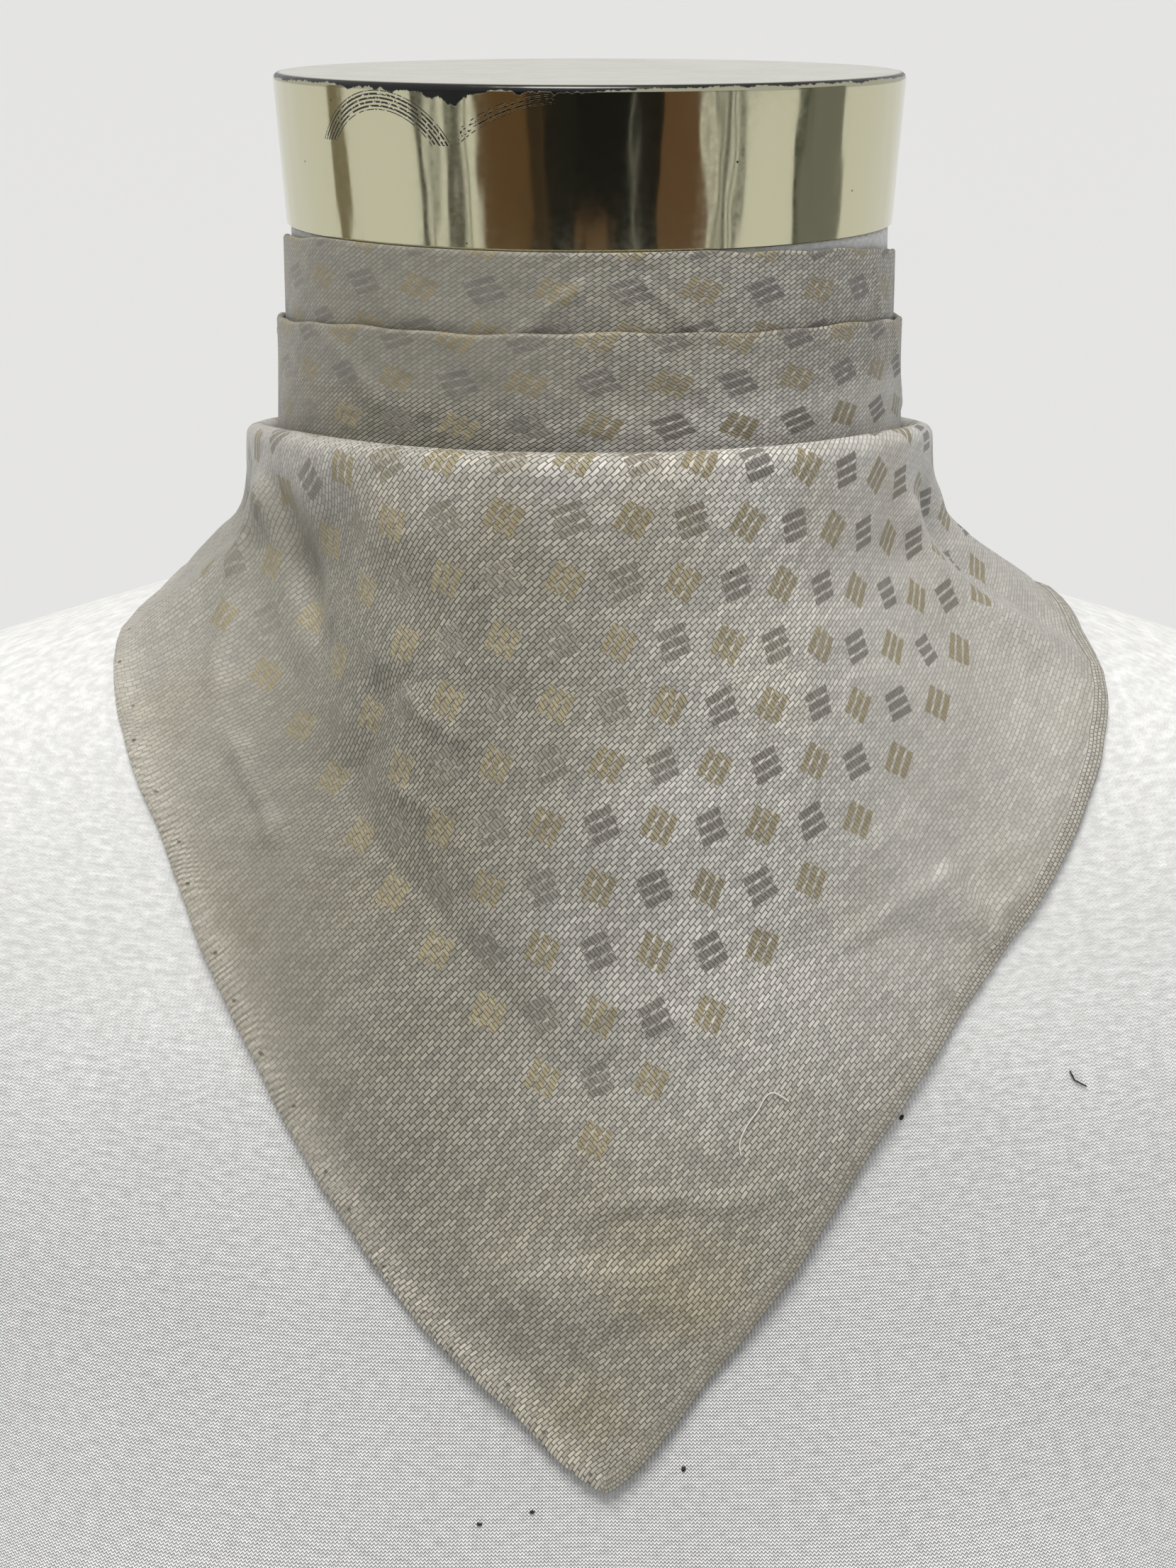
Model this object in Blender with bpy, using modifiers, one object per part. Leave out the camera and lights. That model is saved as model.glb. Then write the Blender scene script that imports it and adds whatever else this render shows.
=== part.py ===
"""Square neckerchief, folded on the bias and tied at the nape of a waist-length dress form.

Metres, +Z up. The form stands on Z = 0, its front faces -Y and the neck's axis is X = Y = 0.
A place on the form is given by its azimuth round the neck's axis (0 in front, positive towards +X)
and by its place along the form's outline in that direction. Cloth lies on those points, moved out.
"""
import math
from collections import namedtuple

import bmesh
import bpy

PART_NAME = "neckerchief_on_form"

# Neck cap
CAP_TOP_HEIGHT = 0.485
CAP_DEPTH = 0.028
CAP_TOP_RADIUS = 0.061
CAP_FOOT_RADIUS = 0.0593
CAP_RIM_ROUNDING = 0.0014
CAP_TURN_STEPS = 56

# Cloth
DRAPE_WALL = 0.0012
TAIL_WALL = 0.0012
COWL_RETURN = 0.011          # how far the cowl turns in, behind its top fold
COWL_SMOOTH = 0.012          # the drape's folds grow from nothing over this length below it
DRAPE_END_AZIMUTH = 172.0    # the two ends meet under the knot
DRAPE_REST = 0.0015          # middle of the wall, off the form, where the cloth lies on it

# Mesh fineness
FORM_COLUMNS = 48
TORSO_RINGS = 13              # from the underside up to the shoulders' row
SHOULDER_RINGS = 24           # from there to the top of the neck
SHOULDER_ROW = 9
DRAPE_COLUMNS = 62
DRAPE_ROWS = 16
FOLD_ROWS = 4
RETURN_ROWS = 3
PLEAT_COLUMNS = 58
PLEAT_ROWS = 4
PATH_STEPS = 240

# Bust of the form: one soft swell on each side of the front
BUST_SWELL = 0.014
BUST_AZIMUTH = math.radians(33)
BUST_WIDTH = math.radians(17)
BUST_HEIGHT = 0.165
BUST_LENGTH = 0.045

Section = namedtuple("Section", "height half_width front back squareness")

# The form from its flat underside (the waist) to the top of its neck
FORM_SECTIONS = (
    Section(0.0000, 0.1240, 0.0900, 0.0780, 2.20),
    Section(0.0450, 0.1270, 0.0930, 0.0800, 2.20),
    Section(0.0950, 0.1360, 0.1030, 0.0860, 2.25),
    Section(0.1350, 0.1480, 0.1160, 0.0930, 2.30),
    Section(0.1650, 0.1560, 0.1240, 0.0980, 2.30),
    Section(0.2000, 0.1620, 0.1240, 0.1030, 2.30),
    Section(0.2400, 0.1680, 0.1135, 0.1060, 2.25),
    Section(0.2800, 0.1770, 0.1015, 0.1050, 2.20),
    Section(0.3100, 0.1830, 0.0925, 0.1010, 2.15),
    Section(0.3320, 0.1835, 0.0845, 0.0950, 2.10),
    Section(0.3450, 0.1770, 0.0795, 0.0900, 2.05),
    Section(0.3550, 0.1640, 0.0755, 0.0850, 2.00),
    Section(0.3630, 0.1455, 0.0720, 0.0800, 2.00),
    Section(0.3705, 0.1225, 0.0690, 0.0750, 2.00),
    Section(0.3755, 0.1055, 0.0672, 0.0710, 2.00),
    Section(0.3805, 0.0895, 0.0655, 0.0680, 2.00),
    Section(0.3880, 0.0750, 0.0635, 0.0648, 2.00),
    Section(0.3970, 0.0655, 0.0617, 0.0620, 2.00),
    Section(0.4100, 0.0603, 0.0600, 0.0600, 2.00),
    Section(0.4280, 0.0589, 0.0590, 0.0590, 2.00),
    Section(0.4430, 0.0587, 0.0587, 0.0587, 2.00),
    Section(0.4567, 0.0585, 0.0585, 0.0585, 2.00),
)

# The drape by azimuth, from the front to the nape. top: height of the cowl's fold. return_off: how
# far the turned-in wall behind that fold stands off the form. top_off and hollow_off: the same for
# the outer wall, at the fold and hollow_at below it. It lies on the form from lie_at below the fold.
# left and right: length from the fold down to the hem.
Hang = namedtuple("Hang", "azimuth top return_off top_off hollow_off hollow_at lie_at left right")
DRAPE_HANG = (
    Hang(0, 0.4232, 0.0081, 0.0160, 0.0160, 0.034, 0.115, 0.1900, 0.1900),
    Hang(10, 0.4231, 0.0080, 0.0158, 0.0156, 0.034, 0.113, 0.1738, 0.1693),
    Hang(20, 0.4229, 0.0077, 0.0152, 0.0146, 0.034, 0.108, 0.1564, 0.1487),
    Hang(30, 0.4226, 0.0073, 0.0142, 0.0132, 0.033, 0.100, 0.1335, 0.1267),
    Hang(40, 0.4222, 0.0067, 0.0130, 0.0112, 0.032, 0.090, 0.1100, 0.1080),
    Hang(50, 0.4216, 0.0061, 0.0117, 0.0092, 0.030, 0.079, 0.0874, 0.0936),
    Hang(60, 0.4206, 0.0056, 0.0106, 0.0076, 0.028, 0.068, 0.0730, 0.0806),
    Hang(75, 0.4185, 0.0051, 0.0095, 0.0064, 0.027, 0.056, 0.0600, 0.0655),
    Hang(90, 0.4158, 0.0047, 0.0086, 0.0056, 0.026, 0.046, 0.0492, 0.0556),
    Hang(110, 0.4132, 0.0043, 0.0074, 0.0054, 0.022, 0.038, 0.0380, 0.0424),
    Hang(130, 0.4125, 0.0042, 0.0066, 0.0058, 0.018, 0.032, 0.0290, 0.0320),
    Hang(150, 0.4132, 0.0042, 0.0063, 0.0058, 0.014, 0.028, 0.0230, 0.0250),
    Hang(172, 0.4145, 0.0041, 0.0062, 0.0058, 0.012, 0.028, 0.0170, 0.0180),
)
TIP_AZIMUTH = 1.5            # the corner hangs a little to the +X side of the middle

# The largest folds of the drape: a soft ridge (or trough, where high is below zero) from one place
# to another, each place an azimuth and a distance below the cowl's fold.
FOLD_RADIUS = 0.085          # of the cloth round the neck's axis, where its folds are laid out
Fold = namedtuple("Fold", "azimuth_a down_a azimuth_b down_b width high")
DRAPE_FOLDS = (
    Fold(-52, 0.010, -16, 0.105, 0.0150, -0.0030),
    Fold(-30, 0.012, 8, 0.062, 0.0110, 0.0016),
    Fold(58, 0.014, 70, 0.060, 0.0055, 0.0016),
    Fold(70, 0.012, 80, 0.052, 0.0050, -0.0015),
    Fold(80, 0.014, 93, 0.050, 0.0050, 0.0014),
    Fold(-62, 0.012, -74, 0.050, 0.0060, 0.0016),
    Fold(-78, 0.012, -88, 0.044, 0.0055, -0.0014),
    Fold(108, 0.010, 116, 0.040, 0.0060, 0.0014),
    Fold(-106, 0.010, -118, 0.036, 0.0060, 0.0014),
    Fold(134, 0.008, 146, 0.028, 0.0060, 0.0012),
    Fold(-136, 0.008, -148, 0.026, 0.0060, 0.0012),
    Fold(22, 0.090, 42, 0.098, 0.0070, -0.0012),
    Fold(-6, 0.146, 9, 0.150, 0.0065, 0.0013),
)

# The pleats by azimuth: height of the top fold, height of the hidden lower edge, inner face off the
# form, and thickness of the doubled cloth.
Band = namedtuple("Band", "azimuth top foot inner_off wall")
UPPER_PLEAT = (
    Band(0, 0.4580, 0.4320, 0.0013, 0.0012),
    Band(45, 0.4563, 0.4310, 0.0010, 0.0011),
    Band(90, 0.4522, 0.4285, 0.0005, 0.0010),
    Band(135, 0.4430, 0.4200, 0.0005, 0.0011),
    Band(172, 0.4340, 0.4150, 0.0005, 0.0011),
)
UPPER_PLEAT_LEAN = 0.0013    # its +X side sits lower than its -X side by twice this
LOWER_PLEAT = (
    Band(0, 0.4432, 0.4100, 0.0029, 0.0014),
    Band(45, 0.4420, 0.4090, 0.0026, 0.0014),
    Band(90, 0.4382, 0.4060, 0.0019, 0.0013),
    Band(135, 0.4320, 0.4030, 0.0020, 0.0012),
    Band(172, 0.4250, 0.4030, 0.0020, 0.0012),
)
LOWER_PLEAT_LEAN = 0.0

# The knot at the nape: sizes along the neck, up, and away from it
KNOT_HALF_WIDTH = 0.0220
KNOT_HALF_HEIGHT = 0.0140
KNOT_DEPTH = 0.0140
KNOT_INNER_SHARE = 0.2       # of its depth, behind its widest outline
KNOT_HEIGHT = 0.4150
KNOT_SEAT_OFFSET = 0.0071    # off the form's neck, just outside the drape's ends
KNOT_WRAP_EDGE = 0.46        # the strand over its middle ends here, as a share of the half width
KNOT_WRAP_SLANT = 0.35
KNOT_GROOVE = 0.0028
KNOT_GROOVE_WIDTH = 0.13     # as a share of the half width
KNOT_PINCH = 0.16            # how much less high its two sides are than its middle, as a share
KNOT_SEGMENTS = 28
KNOT_RINGS = 14

# The tails: half width by the share of their length, from the knot to the corner of the square
TailSection = namedtuple("TailSection", "share half_width off crown")
TAIL_SECTIONS = (
    TailSection(0.00, 0.0050, 0.0102, 0.0020),
    TailSection(0.15, 0.0075, 0.0093, 0.0028),
    TailSection(0.35, 0.0110, 0.0062, 0.0028),
    TailSection(0.55, 0.0140, 0.0034, 0.0024),
    TailSection(0.75, 0.0125, 0.0026, 0.0018),
    TailSection(0.90, 0.0060, 0.0022, 0.0010),
    TailSection(1.00, 0.0008, 0.0020, 0.0004),
)
TAIL_TOP_HEIGHT = 0.3985
TAIL_START_AZIMUTH = 174.0
TAIL_ROWS = 13
TAIL_COLUMNS = 8
LEFT_TAIL_LENGTH = 0.082
RIGHT_TAIL_LENGTH = 0.070
LEFT_TAIL_END_AZIMUTH = -163.0
RIGHT_TAIL_END_AZIMUTH = 166.0


def between(a, b, c, d, share):
    """Catmull-Rom value between b and c."""
    return 0.5 * (2 * b + (c - a) * share + (2 * a - 5 * b + 4 * c - d) * share ** 2
                  + (3 * b - a - 3 * c + d) * share ** 3)


def row_at(rows, place):
    """A row of a table at a place between its rows, on a smooth curve through them."""
    low = min(int(place), len(rows) - 2)
    share = place - low
    near = (rows[max(low - 1, 0)], rows[low], rows[low + 1], rows[min(low + 2, len(rows) - 1)])
    return type(rows[0])(*(between(*values, share) for values in zip(*near)))


def row_for(rows, key):
    """The row of a table whose first column has the value key."""
    low = 0
    while low < len(rows) - 2 and rows[low + 1][0] <= key:
        low += 1
    share = (key - rows[low][0]) / (rows[low + 1][0] - rows[low][0])
    return row_at(rows, low + min(max(share, 0.0), 1.0))


def soft_step(value):
    """0 below 0, 1 above 1, and a smooth rise between."""
    value = min(max(value, 0.0), 1.0)
    return value * value * (3 - 2 * value)


def form_place(azimuth, place):
    """Radius and height of the form at an azimuth in degrees and a place in its table."""
    section = row_at(FORM_SECTIONS, place)
    angle = math.radians(azimuth)
    depth = section.front if math.cos(angle) > 0 else section.back
    across = abs(math.sin(angle)) / section.half_width
    along = abs(math.cos(angle)) / depth
    radius = (across ** section.squareness + along ** section.squareness) ** (-1 / section.squareness)
    turned = abs((angle + math.pi) % (2 * math.pi) - math.pi)
    aside = (turned - BUST_AZIMUTH) / BUST_WIDTH
    above = (section.height - BUST_HEIGHT) / BUST_LENGTH
    return radius + BUST_SWELL * math.exp(-(aside ** 2 + above ** 2) / 2), section.height


def on_axis_plane(azimuth, radius, height):
    """A point from its azimuth in degrees, its radius and its height."""
    angle = math.radians(azimuth)
    return (radius * math.sin(angle), -radius * math.cos(angle), height)


class Outline:
    """The form's outline at one azimuth, from the top of the neck down, by distance along it."""

    def __init__(self, azimuth):
        self.azimuth = azimuth
        top_place = len(FORM_SECTIONS) - 1
        steps = [top_place * (1 - i / PATH_STEPS) for i in range(PATH_STEPS + 1)]
        self.points = [form_place(azimuth, place) for place in steps]
        self.lengths = [0.0]
        for (r0, z0), (r1, z1) in zip(self.points, self.points[1:]):
            self.lengths.append(self.lengths[-1] + math.hypot(r1 - r0, z1 - z0))

    def down_to(self, height):
        """Distance from the top of the neck down to a height."""
        if height >= self.points[0][1]:
            return self.points[0][1] - height
        for i, (_, z) in enumerate(self.points):
            if z <= height:
                z_above = self.points[i - 1][1]
                share = (z_above - height) / (z_above - z)
                return self.lengths[i - 1] + share * (self.lengths[i] - self.lengths[i - 1])
        return self.lengths[-1]

    def out(self, distance, offset):
        """The point at a distance along the outline, moved out from the form by an offset."""
        i = 1
        while i < PATH_STEPS and self.lengths[i] < distance:
            i += 1
        before = max(i - 3, 0)
        after = min(i + 2, PATH_STEPS)
        r0, z0 = self.points[before]
        r1, z1 = self.points[after]
        run = math.hypot(r1 - r0, z1 - z0)
        share = (distance - self.lengths[i - 1]) / (self.lengths[i] - self.lengths[i - 1])
        (ra, za), (rb, zb) = self.points[i - 1], self.points[i]
        radius = ra + (rb - ra) * share + offset * (z0 - z1) / run
        height = za + (zb - za) * share + offset * (r1 - r0) / run
        return on_axis_plane(self.azimuth, radius, height)


def fold_height(azimuth, down):
    """How far the drape's largest folds lift it, at an azimuth and a distance below its fold."""
    arc = FOLD_RADIUS * math.radians(1)
    lift = 0.0
    for fold in DRAPE_FOLDS:
        ax, ay = fold.azimuth_a * arc, fold.down_a
        bx, by = fold.azimuth_b * arc, fold.down_b
        length = math.hypot(bx - ax, by - ay)
        ux, uy = (bx - ax) / length, (by - ay) / length
        px, py = azimuth * arc - ax, down - ay
        along = (px * ux + py * uy) / length
        beyond = max(-along, along - 1, 0.0) * length / fold.width
        aside = (px * uy - py * ux) / fold.width
        lift += fold.high * math.exp(-(aside ** 2 + beyond ** 2))
    return lift


def drape_offset(hang, azimuth, down):
    """How far the middle of the drape's wall stands off the form."""
    if down < hang.hollow_at:
        base = hang.top_off + (hang.hollow_off - hang.top_off) * soft_step(down / hang.hollow_at)
    else:
        share = (down - hang.hollow_at) / (hang.lie_at - hang.hollow_at)
        base = hang.hollow_off + (DRAPE_REST - hang.hollow_off) * soft_step(share)
    rise = soft_step(down / COWL_SMOOTH)
    return max(base + rise * fold_height(azimuth, down), DRAPE_REST)


def drape_column(azimuth):
    """Points down one column of the drape: up the turned-in wall, over the fold, down to the hem."""
    outline = Outline(azimuth)
    hang = row_for(DRAPE_HANG, abs(azimuth))
    from_tip = azimuth - TIP_AZIMUTH
    hem = row_for(DRAPE_HANG, abs(from_tip))
    length = hem.left if from_tip < 0 else hem.right
    bend = (hang.top_off - hang.return_off) / 2
    fold_at = outline.down_to(hang.top - bend)
    column = []
    for row in range(RETURN_ROWS):
        below = COWL_RETURN * (1 - row / RETURN_ROWS)
        column.append(outline.out(fold_at + below, hang.return_off))
    for row in range(FOLD_ROWS + 1):
        turn = math.pi * row / FOLD_ROWS
        offset = hang.return_off + bend * (1 - math.cos(turn))
        column.append(outline.out(fold_at - bend * math.sin(turn), offset))
    for row in range(1, DRAPE_ROWS + 1):
        down = (length - bend) * row / DRAPE_ROWS
        column.append(outline.out(fold_at + down, drape_offset(hang, azimuth, down)))
    return column


def sheet_faces(columns, rows):
    """Quads of a sheet whose points are listed column by column."""
    faces = []
    for i in range(columns - 1):
        for j in range(rows - 1):
            a = i * rows + j
            faces.append((a, a + 1, a + rows + 1, a + rows))
    return faces


def add_object(name, points, faces, material, collection):
    """A named object from points and faces, shaded smooth, with its faces pointing out."""
    mesh = bpy.data.meshes.new(name)
    mesh.from_pydata(points, [], faces)
    work = bmesh.new()
    work.from_mesh(mesh)
    bmesh.ops.recalc_face_normals(work, faces=work.faces)
    work.to_mesh(mesh)
    work.free()
    mesh.shade_smooth()
    mesh.materials.append(material)
    thing = bpy.data.objects.new(name, mesh)
    collection.objects.link(thing)
    return thing


def add_wall(thing, thickness):
    """Gives an open sheet its thickness, half to each side."""
    wall = thing.modifiers.new("wall", "SOLIDIFY")
    wall.thickness = thickness
    wall.offset = 0.0
    wall.use_even_offset = True
    wall.use_rim = True


def make_material(name, colour, roughness, metallic):
    """A plain Principled material."""
    material = bpy.data.materials.new(name)
    material.use_nodes = True
    shader = material.node_tree.nodes["Principled BSDF"]
    shader.inputs["Base Color"].default_value = (*colour, 1.0)
    shader.inputs["Roughness"].default_value = roughness
    shader.inputs["Metallic"].default_value = metallic
    return material


def make_form(material, collection):
    """The jersey-covered form: closed rings from the flat underside to the flat top of the neck."""
    last = len(FORM_SECTIONS) - 1
    places = [SHOULDER_ROW * ring / TORSO_RINGS for ring in range(TORSO_RINGS)]
    for ring in range(SHOULDER_RINGS + 1):
        places.append(SHOULDER_ROW + (last - SHOULDER_ROW) * ring / SHOULDER_RINGS)
    points = []
    for place in places:
        for i in range(FORM_COLUMNS):
            azimuth = 360.0 * i / FORM_COLUMNS - 180.0
            radius, height = form_place(azimuth, place)
            points.append(on_axis_plane(azimuth, radius, height))
    faces = []
    for ring in range(len(places) - 1):
        for i in range(FORM_COLUMNS):
            j = (i + 1) % FORM_COLUMNS
            low = ring * FORM_COLUMNS
            high = low + FORM_COLUMNS
            faces.append((low + i, low + j, high + j, high + i))
    faces.append(tuple(reversed(range(FORM_COLUMNS))))
    faces.append(tuple(range(len(points) - FORM_COLUMNS, len(points))))
    return add_object("form_torso", points, faces, material, collection)


def make_cap(material, collection):
    """The plated neck cap: a turned, slightly tapered disc with a rounded rim."""
    foot = CAP_TOP_HEIGHT - CAP_DEPTH
    profile = [(0.0, CAP_TOP_HEIGHT)]
    rim_radius = CAP_TOP_RADIUS - CAP_RIM_ROUNDING
    for step in range(4):
        turn = math.pi / 2 * step / 3
        radius = rim_radius + CAP_RIM_ROUNDING * math.sin(turn)
        height = CAP_TOP_HEIGHT - CAP_RIM_ROUNDING * (1 - math.cos(turn))
        profile.append((radius, height))
    profile.append((CAP_FOOT_RADIUS, foot))
    profile.append((0.0, foot))
    mesh = bpy.data.meshes.new("neck_cap")
    edges = [(i, i + 1) for i in range(len(profile) - 1)]
    mesh.from_pydata([(radius, 0.0, height) for radius, height in profile], edges, [])
    mesh.materials.append(material)
    cap = bpy.data.objects.new("neck_cap", mesh)
    collection.objects.link(cap)
    turned = cap.modifiers.new("turned", "SCREW")
    turned.steps = CAP_TURN_STEPS
    turned.render_steps = CAP_TURN_STEPS
    turned.use_merge_vertices = True
    turned.merge_threshold = 0.0001
    turned.use_smooth_shade = True
    return cap


def make_drape(material, collection):
    """The cowl and the hanging corner, one sheet whose two ends meet under the knot."""
    points = []
    for i in range(DRAPE_COLUMNS + 1):
        share = 2 * i / DRAPE_COLUMNS - 1
        column = drape_column(DRAPE_END_AZIMUTH * share + TIP_AZIMUTH * (1 - abs(share)))
        points.extend(column)
    faces = sheet_faces(DRAPE_COLUMNS + 1, len(column))
    drape = add_object("front_drape", points, faces, material, collection)
    add_wall(drape, DRAPE_WALL)
    return drape


def pleat_ring(band, lean, outline):
    """One closed section of a pleat: doubled cloth with a rounded fold along its top."""
    half = band.wall / 2
    lower = lean * math.sin(math.radians(outline.azimuth))
    top_at = outline.down_to(band.top - half - lower)
    foot_at = outline.down_to(band.foot - lower)
    rows = [foot_at + (top_at - foot_at) * row / PLEAT_ROWS for row in range(PLEAT_ROWS)]
    ring = [outline.out(place, band.inner_off) for place in rows]
    for step in range(5):
        turn = math.pi * step / 4
        offset = band.inner_off + half * (1 - math.cos(turn))
        ring.append(outline.out(top_at - half * math.sin(turn), offset))
    ring.extend(outline.out(place, band.inner_off + band.wall) for place in reversed(rows))
    return ring


def make_pleat(name, table, lean, material, collection):
    """One pleat: a band of doubled cloth round the neck, its two ends under the knot."""
    points = []
    for i in range(PLEAT_COLUMNS + 1):
        azimuth = DRAPE_END_AZIMUTH * (2 * i / PLEAT_COLUMNS - 1)
        ring = pleat_ring(row_for(table, abs(azimuth)), lean, Outline(azimuth))
        points.extend(ring)
    around = len(ring)
    faces = []
    for i in range(PLEAT_COLUMNS):
        for j in range(around):
            k = (j + 1) % around
            low = i * around
            faces.append((low + j, low + k, low + around + k, low + around + j))
    faces.append(tuple(range(around)))
    faces.append(tuple(range(PLEAT_COLUMNS * around, (PLEAT_COLUMNS + 1) * around)))
    return add_object(name, points, faces, material, collection)


def knot_depth(across, away, up):
    """Depth of the knot's surface over its seat, for a point of the unit sphere it is shaped from."""
    if away < 0:
        return KNOT_DEPTH * KNOT_INNER_SHARE * (1 + away)
    crossing = across + KNOT_WRAP_SLANT * up
    groove = math.exp(-((abs(crossing) - KNOT_WRAP_EDGE) / KNOT_GROOVE_WIDTH) ** 2)
    return KNOT_DEPTH * (KNOT_INNER_SHARE + (1 - KNOT_INNER_SHARE) * away) - KNOT_GROOVE * groove * away


def make_knot(material, collection):
    """The flat knot: a lump that hugs the nape, one strand crossing over its middle."""
    work = bmesh.new()
    bmesh.ops.create_uvsphere(work, u_segments=KNOT_SEGMENTS, v_segments=KNOT_RINGS, radius=1.0)
    outline = Outline(180.0)
    for vert in work.verts:
        across, away, up = vert.co
        pinch = 1.0 - KNOT_PINCH * soft_step(2 * abs(across) - KNOT_WRAP_EDGE)
        height = KNOT_HEIGHT + up * pinch * KNOT_HALF_HEIGHT
        seat = outline.out(outline.down_to(height), 0.0)[1] + KNOT_SEAT_OFFSET
        azimuth = 180.0 - math.degrees(across * KNOT_HALF_WIDTH / seat)
        vert.co = on_axis_plane(azimuth, seat + knot_depth(across, away, up), height)
    bmesh.ops.recalc_face_normals(work, faces=work.faces)
    mesh = bpy.data.meshes.new("back_knot")
    work.to_mesh(mesh)
    work.free()
    mesh.shade_smooth()
    mesh.materials.append(material)
    knot = bpy.data.objects.new("back_knot", mesh)
    collection.objects.link(knot)
    return knot


def make_tail(name, side, length, end_azimuth, material, collection):
    """One short end below the knot, lying on the form's back and creased along its middle."""
    start = side * TAIL_START_AZIMUTH
    rows = []
    for row in range(TAIL_ROWS + 1):
        share = row / TAIL_ROWS
        section = row_for(TAIL_SECTIONS, share)
        middle = start + (end_azimuth - start) * share
        outline = Outline(middle)
        x, y, _ = outline.out(outline.down_to(TAIL_TOP_HEIGHT) + share * length, section.off)
        rows.append((share, section, middle, math.hypot(x, y)))
    points = []
    for column in range(TAIL_COLUMNS + 1):
        across = 2 * column / TAIL_COLUMNS - 1
        for share, section, middle, radius in rows:
            outline = Outline(middle + math.degrees(across * section.half_width / radius))
            down = outline.down_to(TAIL_TOP_HEIGHT) + share * length
            points.append(outline.out(down, section.off + section.crown * (1 - across ** 2)))
    faces = sheet_faces(TAIL_COLUMNS + 1, TAIL_ROWS + 1)
    tail = add_object(name, points, faces, material, collection)
    add_wall(tail, TAIL_WALL)
    return tail


def main():
    for thing in list(bpy.data.objects):
        bpy.data.objects.remove(thing)
    collection = bpy.data.collections.new(PART_NAME)
    bpy.context.scene.collection.children.link(collection)
    jersey = make_material("white_jersey", (0.78, 0.78, 0.77), 0.9, 0.0)
    plating = make_material("pale_gold_plating", (0.83, 0.76, 0.55), 0.12, 1.0)
    jacquard = make_material("grey_jacquard", (0.42, 0.40, 0.37), 0.75, 0.0)
    make_form(jersey, collection)
    make_cap(plating, collection)
    make_drape(jacquard, collection)
    make_pleat("neck_pleat_upper", UPPER_PLEAT, UPPER_PLEAT_LEAN, jacquard, collection)
    make_pleat("neck_pleat_lower", LOWER_PLEAT, LOWER_PLEAT_LEAN, jacquard, collection)
    make_knot(jacquard, collection)
    make_tail("tail_left", -1, LEFT_TAIL_LENGTH, LEFT_TAIL_END_AZIMUTH, jacquard, collection)
    make_tail("tail_right", 1, RIGHT_TAIL_LENGTH, RIGHT_TAIL_END_AZIMUTH, jacquard, collection)


main()
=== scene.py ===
import math

import bmesh
import bpy
import numpy as np
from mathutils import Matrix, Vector


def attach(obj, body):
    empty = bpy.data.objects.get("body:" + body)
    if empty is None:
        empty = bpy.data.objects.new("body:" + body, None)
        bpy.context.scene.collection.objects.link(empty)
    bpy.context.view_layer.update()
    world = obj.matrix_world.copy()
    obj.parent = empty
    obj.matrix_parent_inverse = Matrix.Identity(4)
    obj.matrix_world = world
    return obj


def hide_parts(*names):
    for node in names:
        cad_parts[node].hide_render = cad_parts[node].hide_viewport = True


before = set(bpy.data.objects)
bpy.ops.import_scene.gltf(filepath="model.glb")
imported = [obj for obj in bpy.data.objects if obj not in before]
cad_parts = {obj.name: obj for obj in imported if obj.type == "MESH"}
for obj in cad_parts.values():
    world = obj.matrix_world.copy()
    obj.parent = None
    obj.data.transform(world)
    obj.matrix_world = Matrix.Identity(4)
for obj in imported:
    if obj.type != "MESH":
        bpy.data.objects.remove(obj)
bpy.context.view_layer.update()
bpy.ops.object.select_all(action="DESELECT")
print("frame loaded:", ", ".join(sorted(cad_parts)))


# Small helpers

def linear(hexColour):  # sRGB hex to linear RGBA
    channels = [int(hexColour[i:i + 2], 16) / 255 for i in (1, 3, 5)]
    return (*(c / 12.92 if c <= 0.04045 else ((c + 0.055) / 1.055) ** 2.4 for c in channels), 1.0)


def addNode(tree, kind, sockets=None, **settings):  # adds one node, linked up, and gives its outputs
    node = tree.nodes.new("ShaderNode" + kind)
    for name, value in settings.items():
        setattr(node, name, value)
    for name, value in (sockets or {}).items():
        if isinstance(value, bpy.types.NodeSocket):
            tree.links.new(value, node.inputs[name])
        else:
            node.inputs[name].default_value = value
    return node.outputs


def newMaterial(name, constants=None):  # with constants on its shader's sockets
    material = bpy.data.materials.new(name)
    material.use_nodes = True
    shader = material.node_tree.nodes["Principled BSDF"]
    for socket, value in (constants or {}).items():
        shader.inputs[socket].default_value = value
    return material, material.node_tree, shader


def plainMaterial(name, colour, roughness):
    return newMaterial(name, {"Base Color": linear(colour), "Roughness": roughness})[0]


def softStep(value):  # 0 below 0, 1 above 1, smooth between
    value = np.clip(value, 0.0, 1.0)
    return value * value * (3 - 2 * value)


def over(value, stretch):  # 0 before a stretch's first end, 1 past its second
    return softStep((value - stretch[0]) / (stretch[1] - stretch[0]))


def tableAt(rows, places):  # smooth curve through the rows of a table, at places between them
    places = np.clip(np.atleast_1d(places), 0, len(rows) - 1)
    low = np.minimum(places.astype(int), len(rows) - 2)
    share = (places - low)[:, None]
    a, b = rows[np.maximum(low - 1, 0)], rows[low]
    c, d = rows[low + 1], rows[np.minimum(low + 2, len(rows) - 1)]
    return 0.5 * (2 * b + (c - a) * share + (2 * a - 5 * b + 4 * c - d) * share ** 2
                  + (3 * b - a - 3 * c + d) * share ** 3)


def tableFor(rows, keys):  # the same, looked up by the table's first column
    keys = np.clip(np.atleast_1d(keys), rows[0, 0], rows[-1, 0])
    low = np.clip(np.searchsorted(rows[:, 0], keys, side="right") - 1, 0, len(rows) - 2)
    return tableAt(rows, low + (keys - rows[low, 0]) / (rows[low + 1, 0] - rows[low, 0]))


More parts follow.
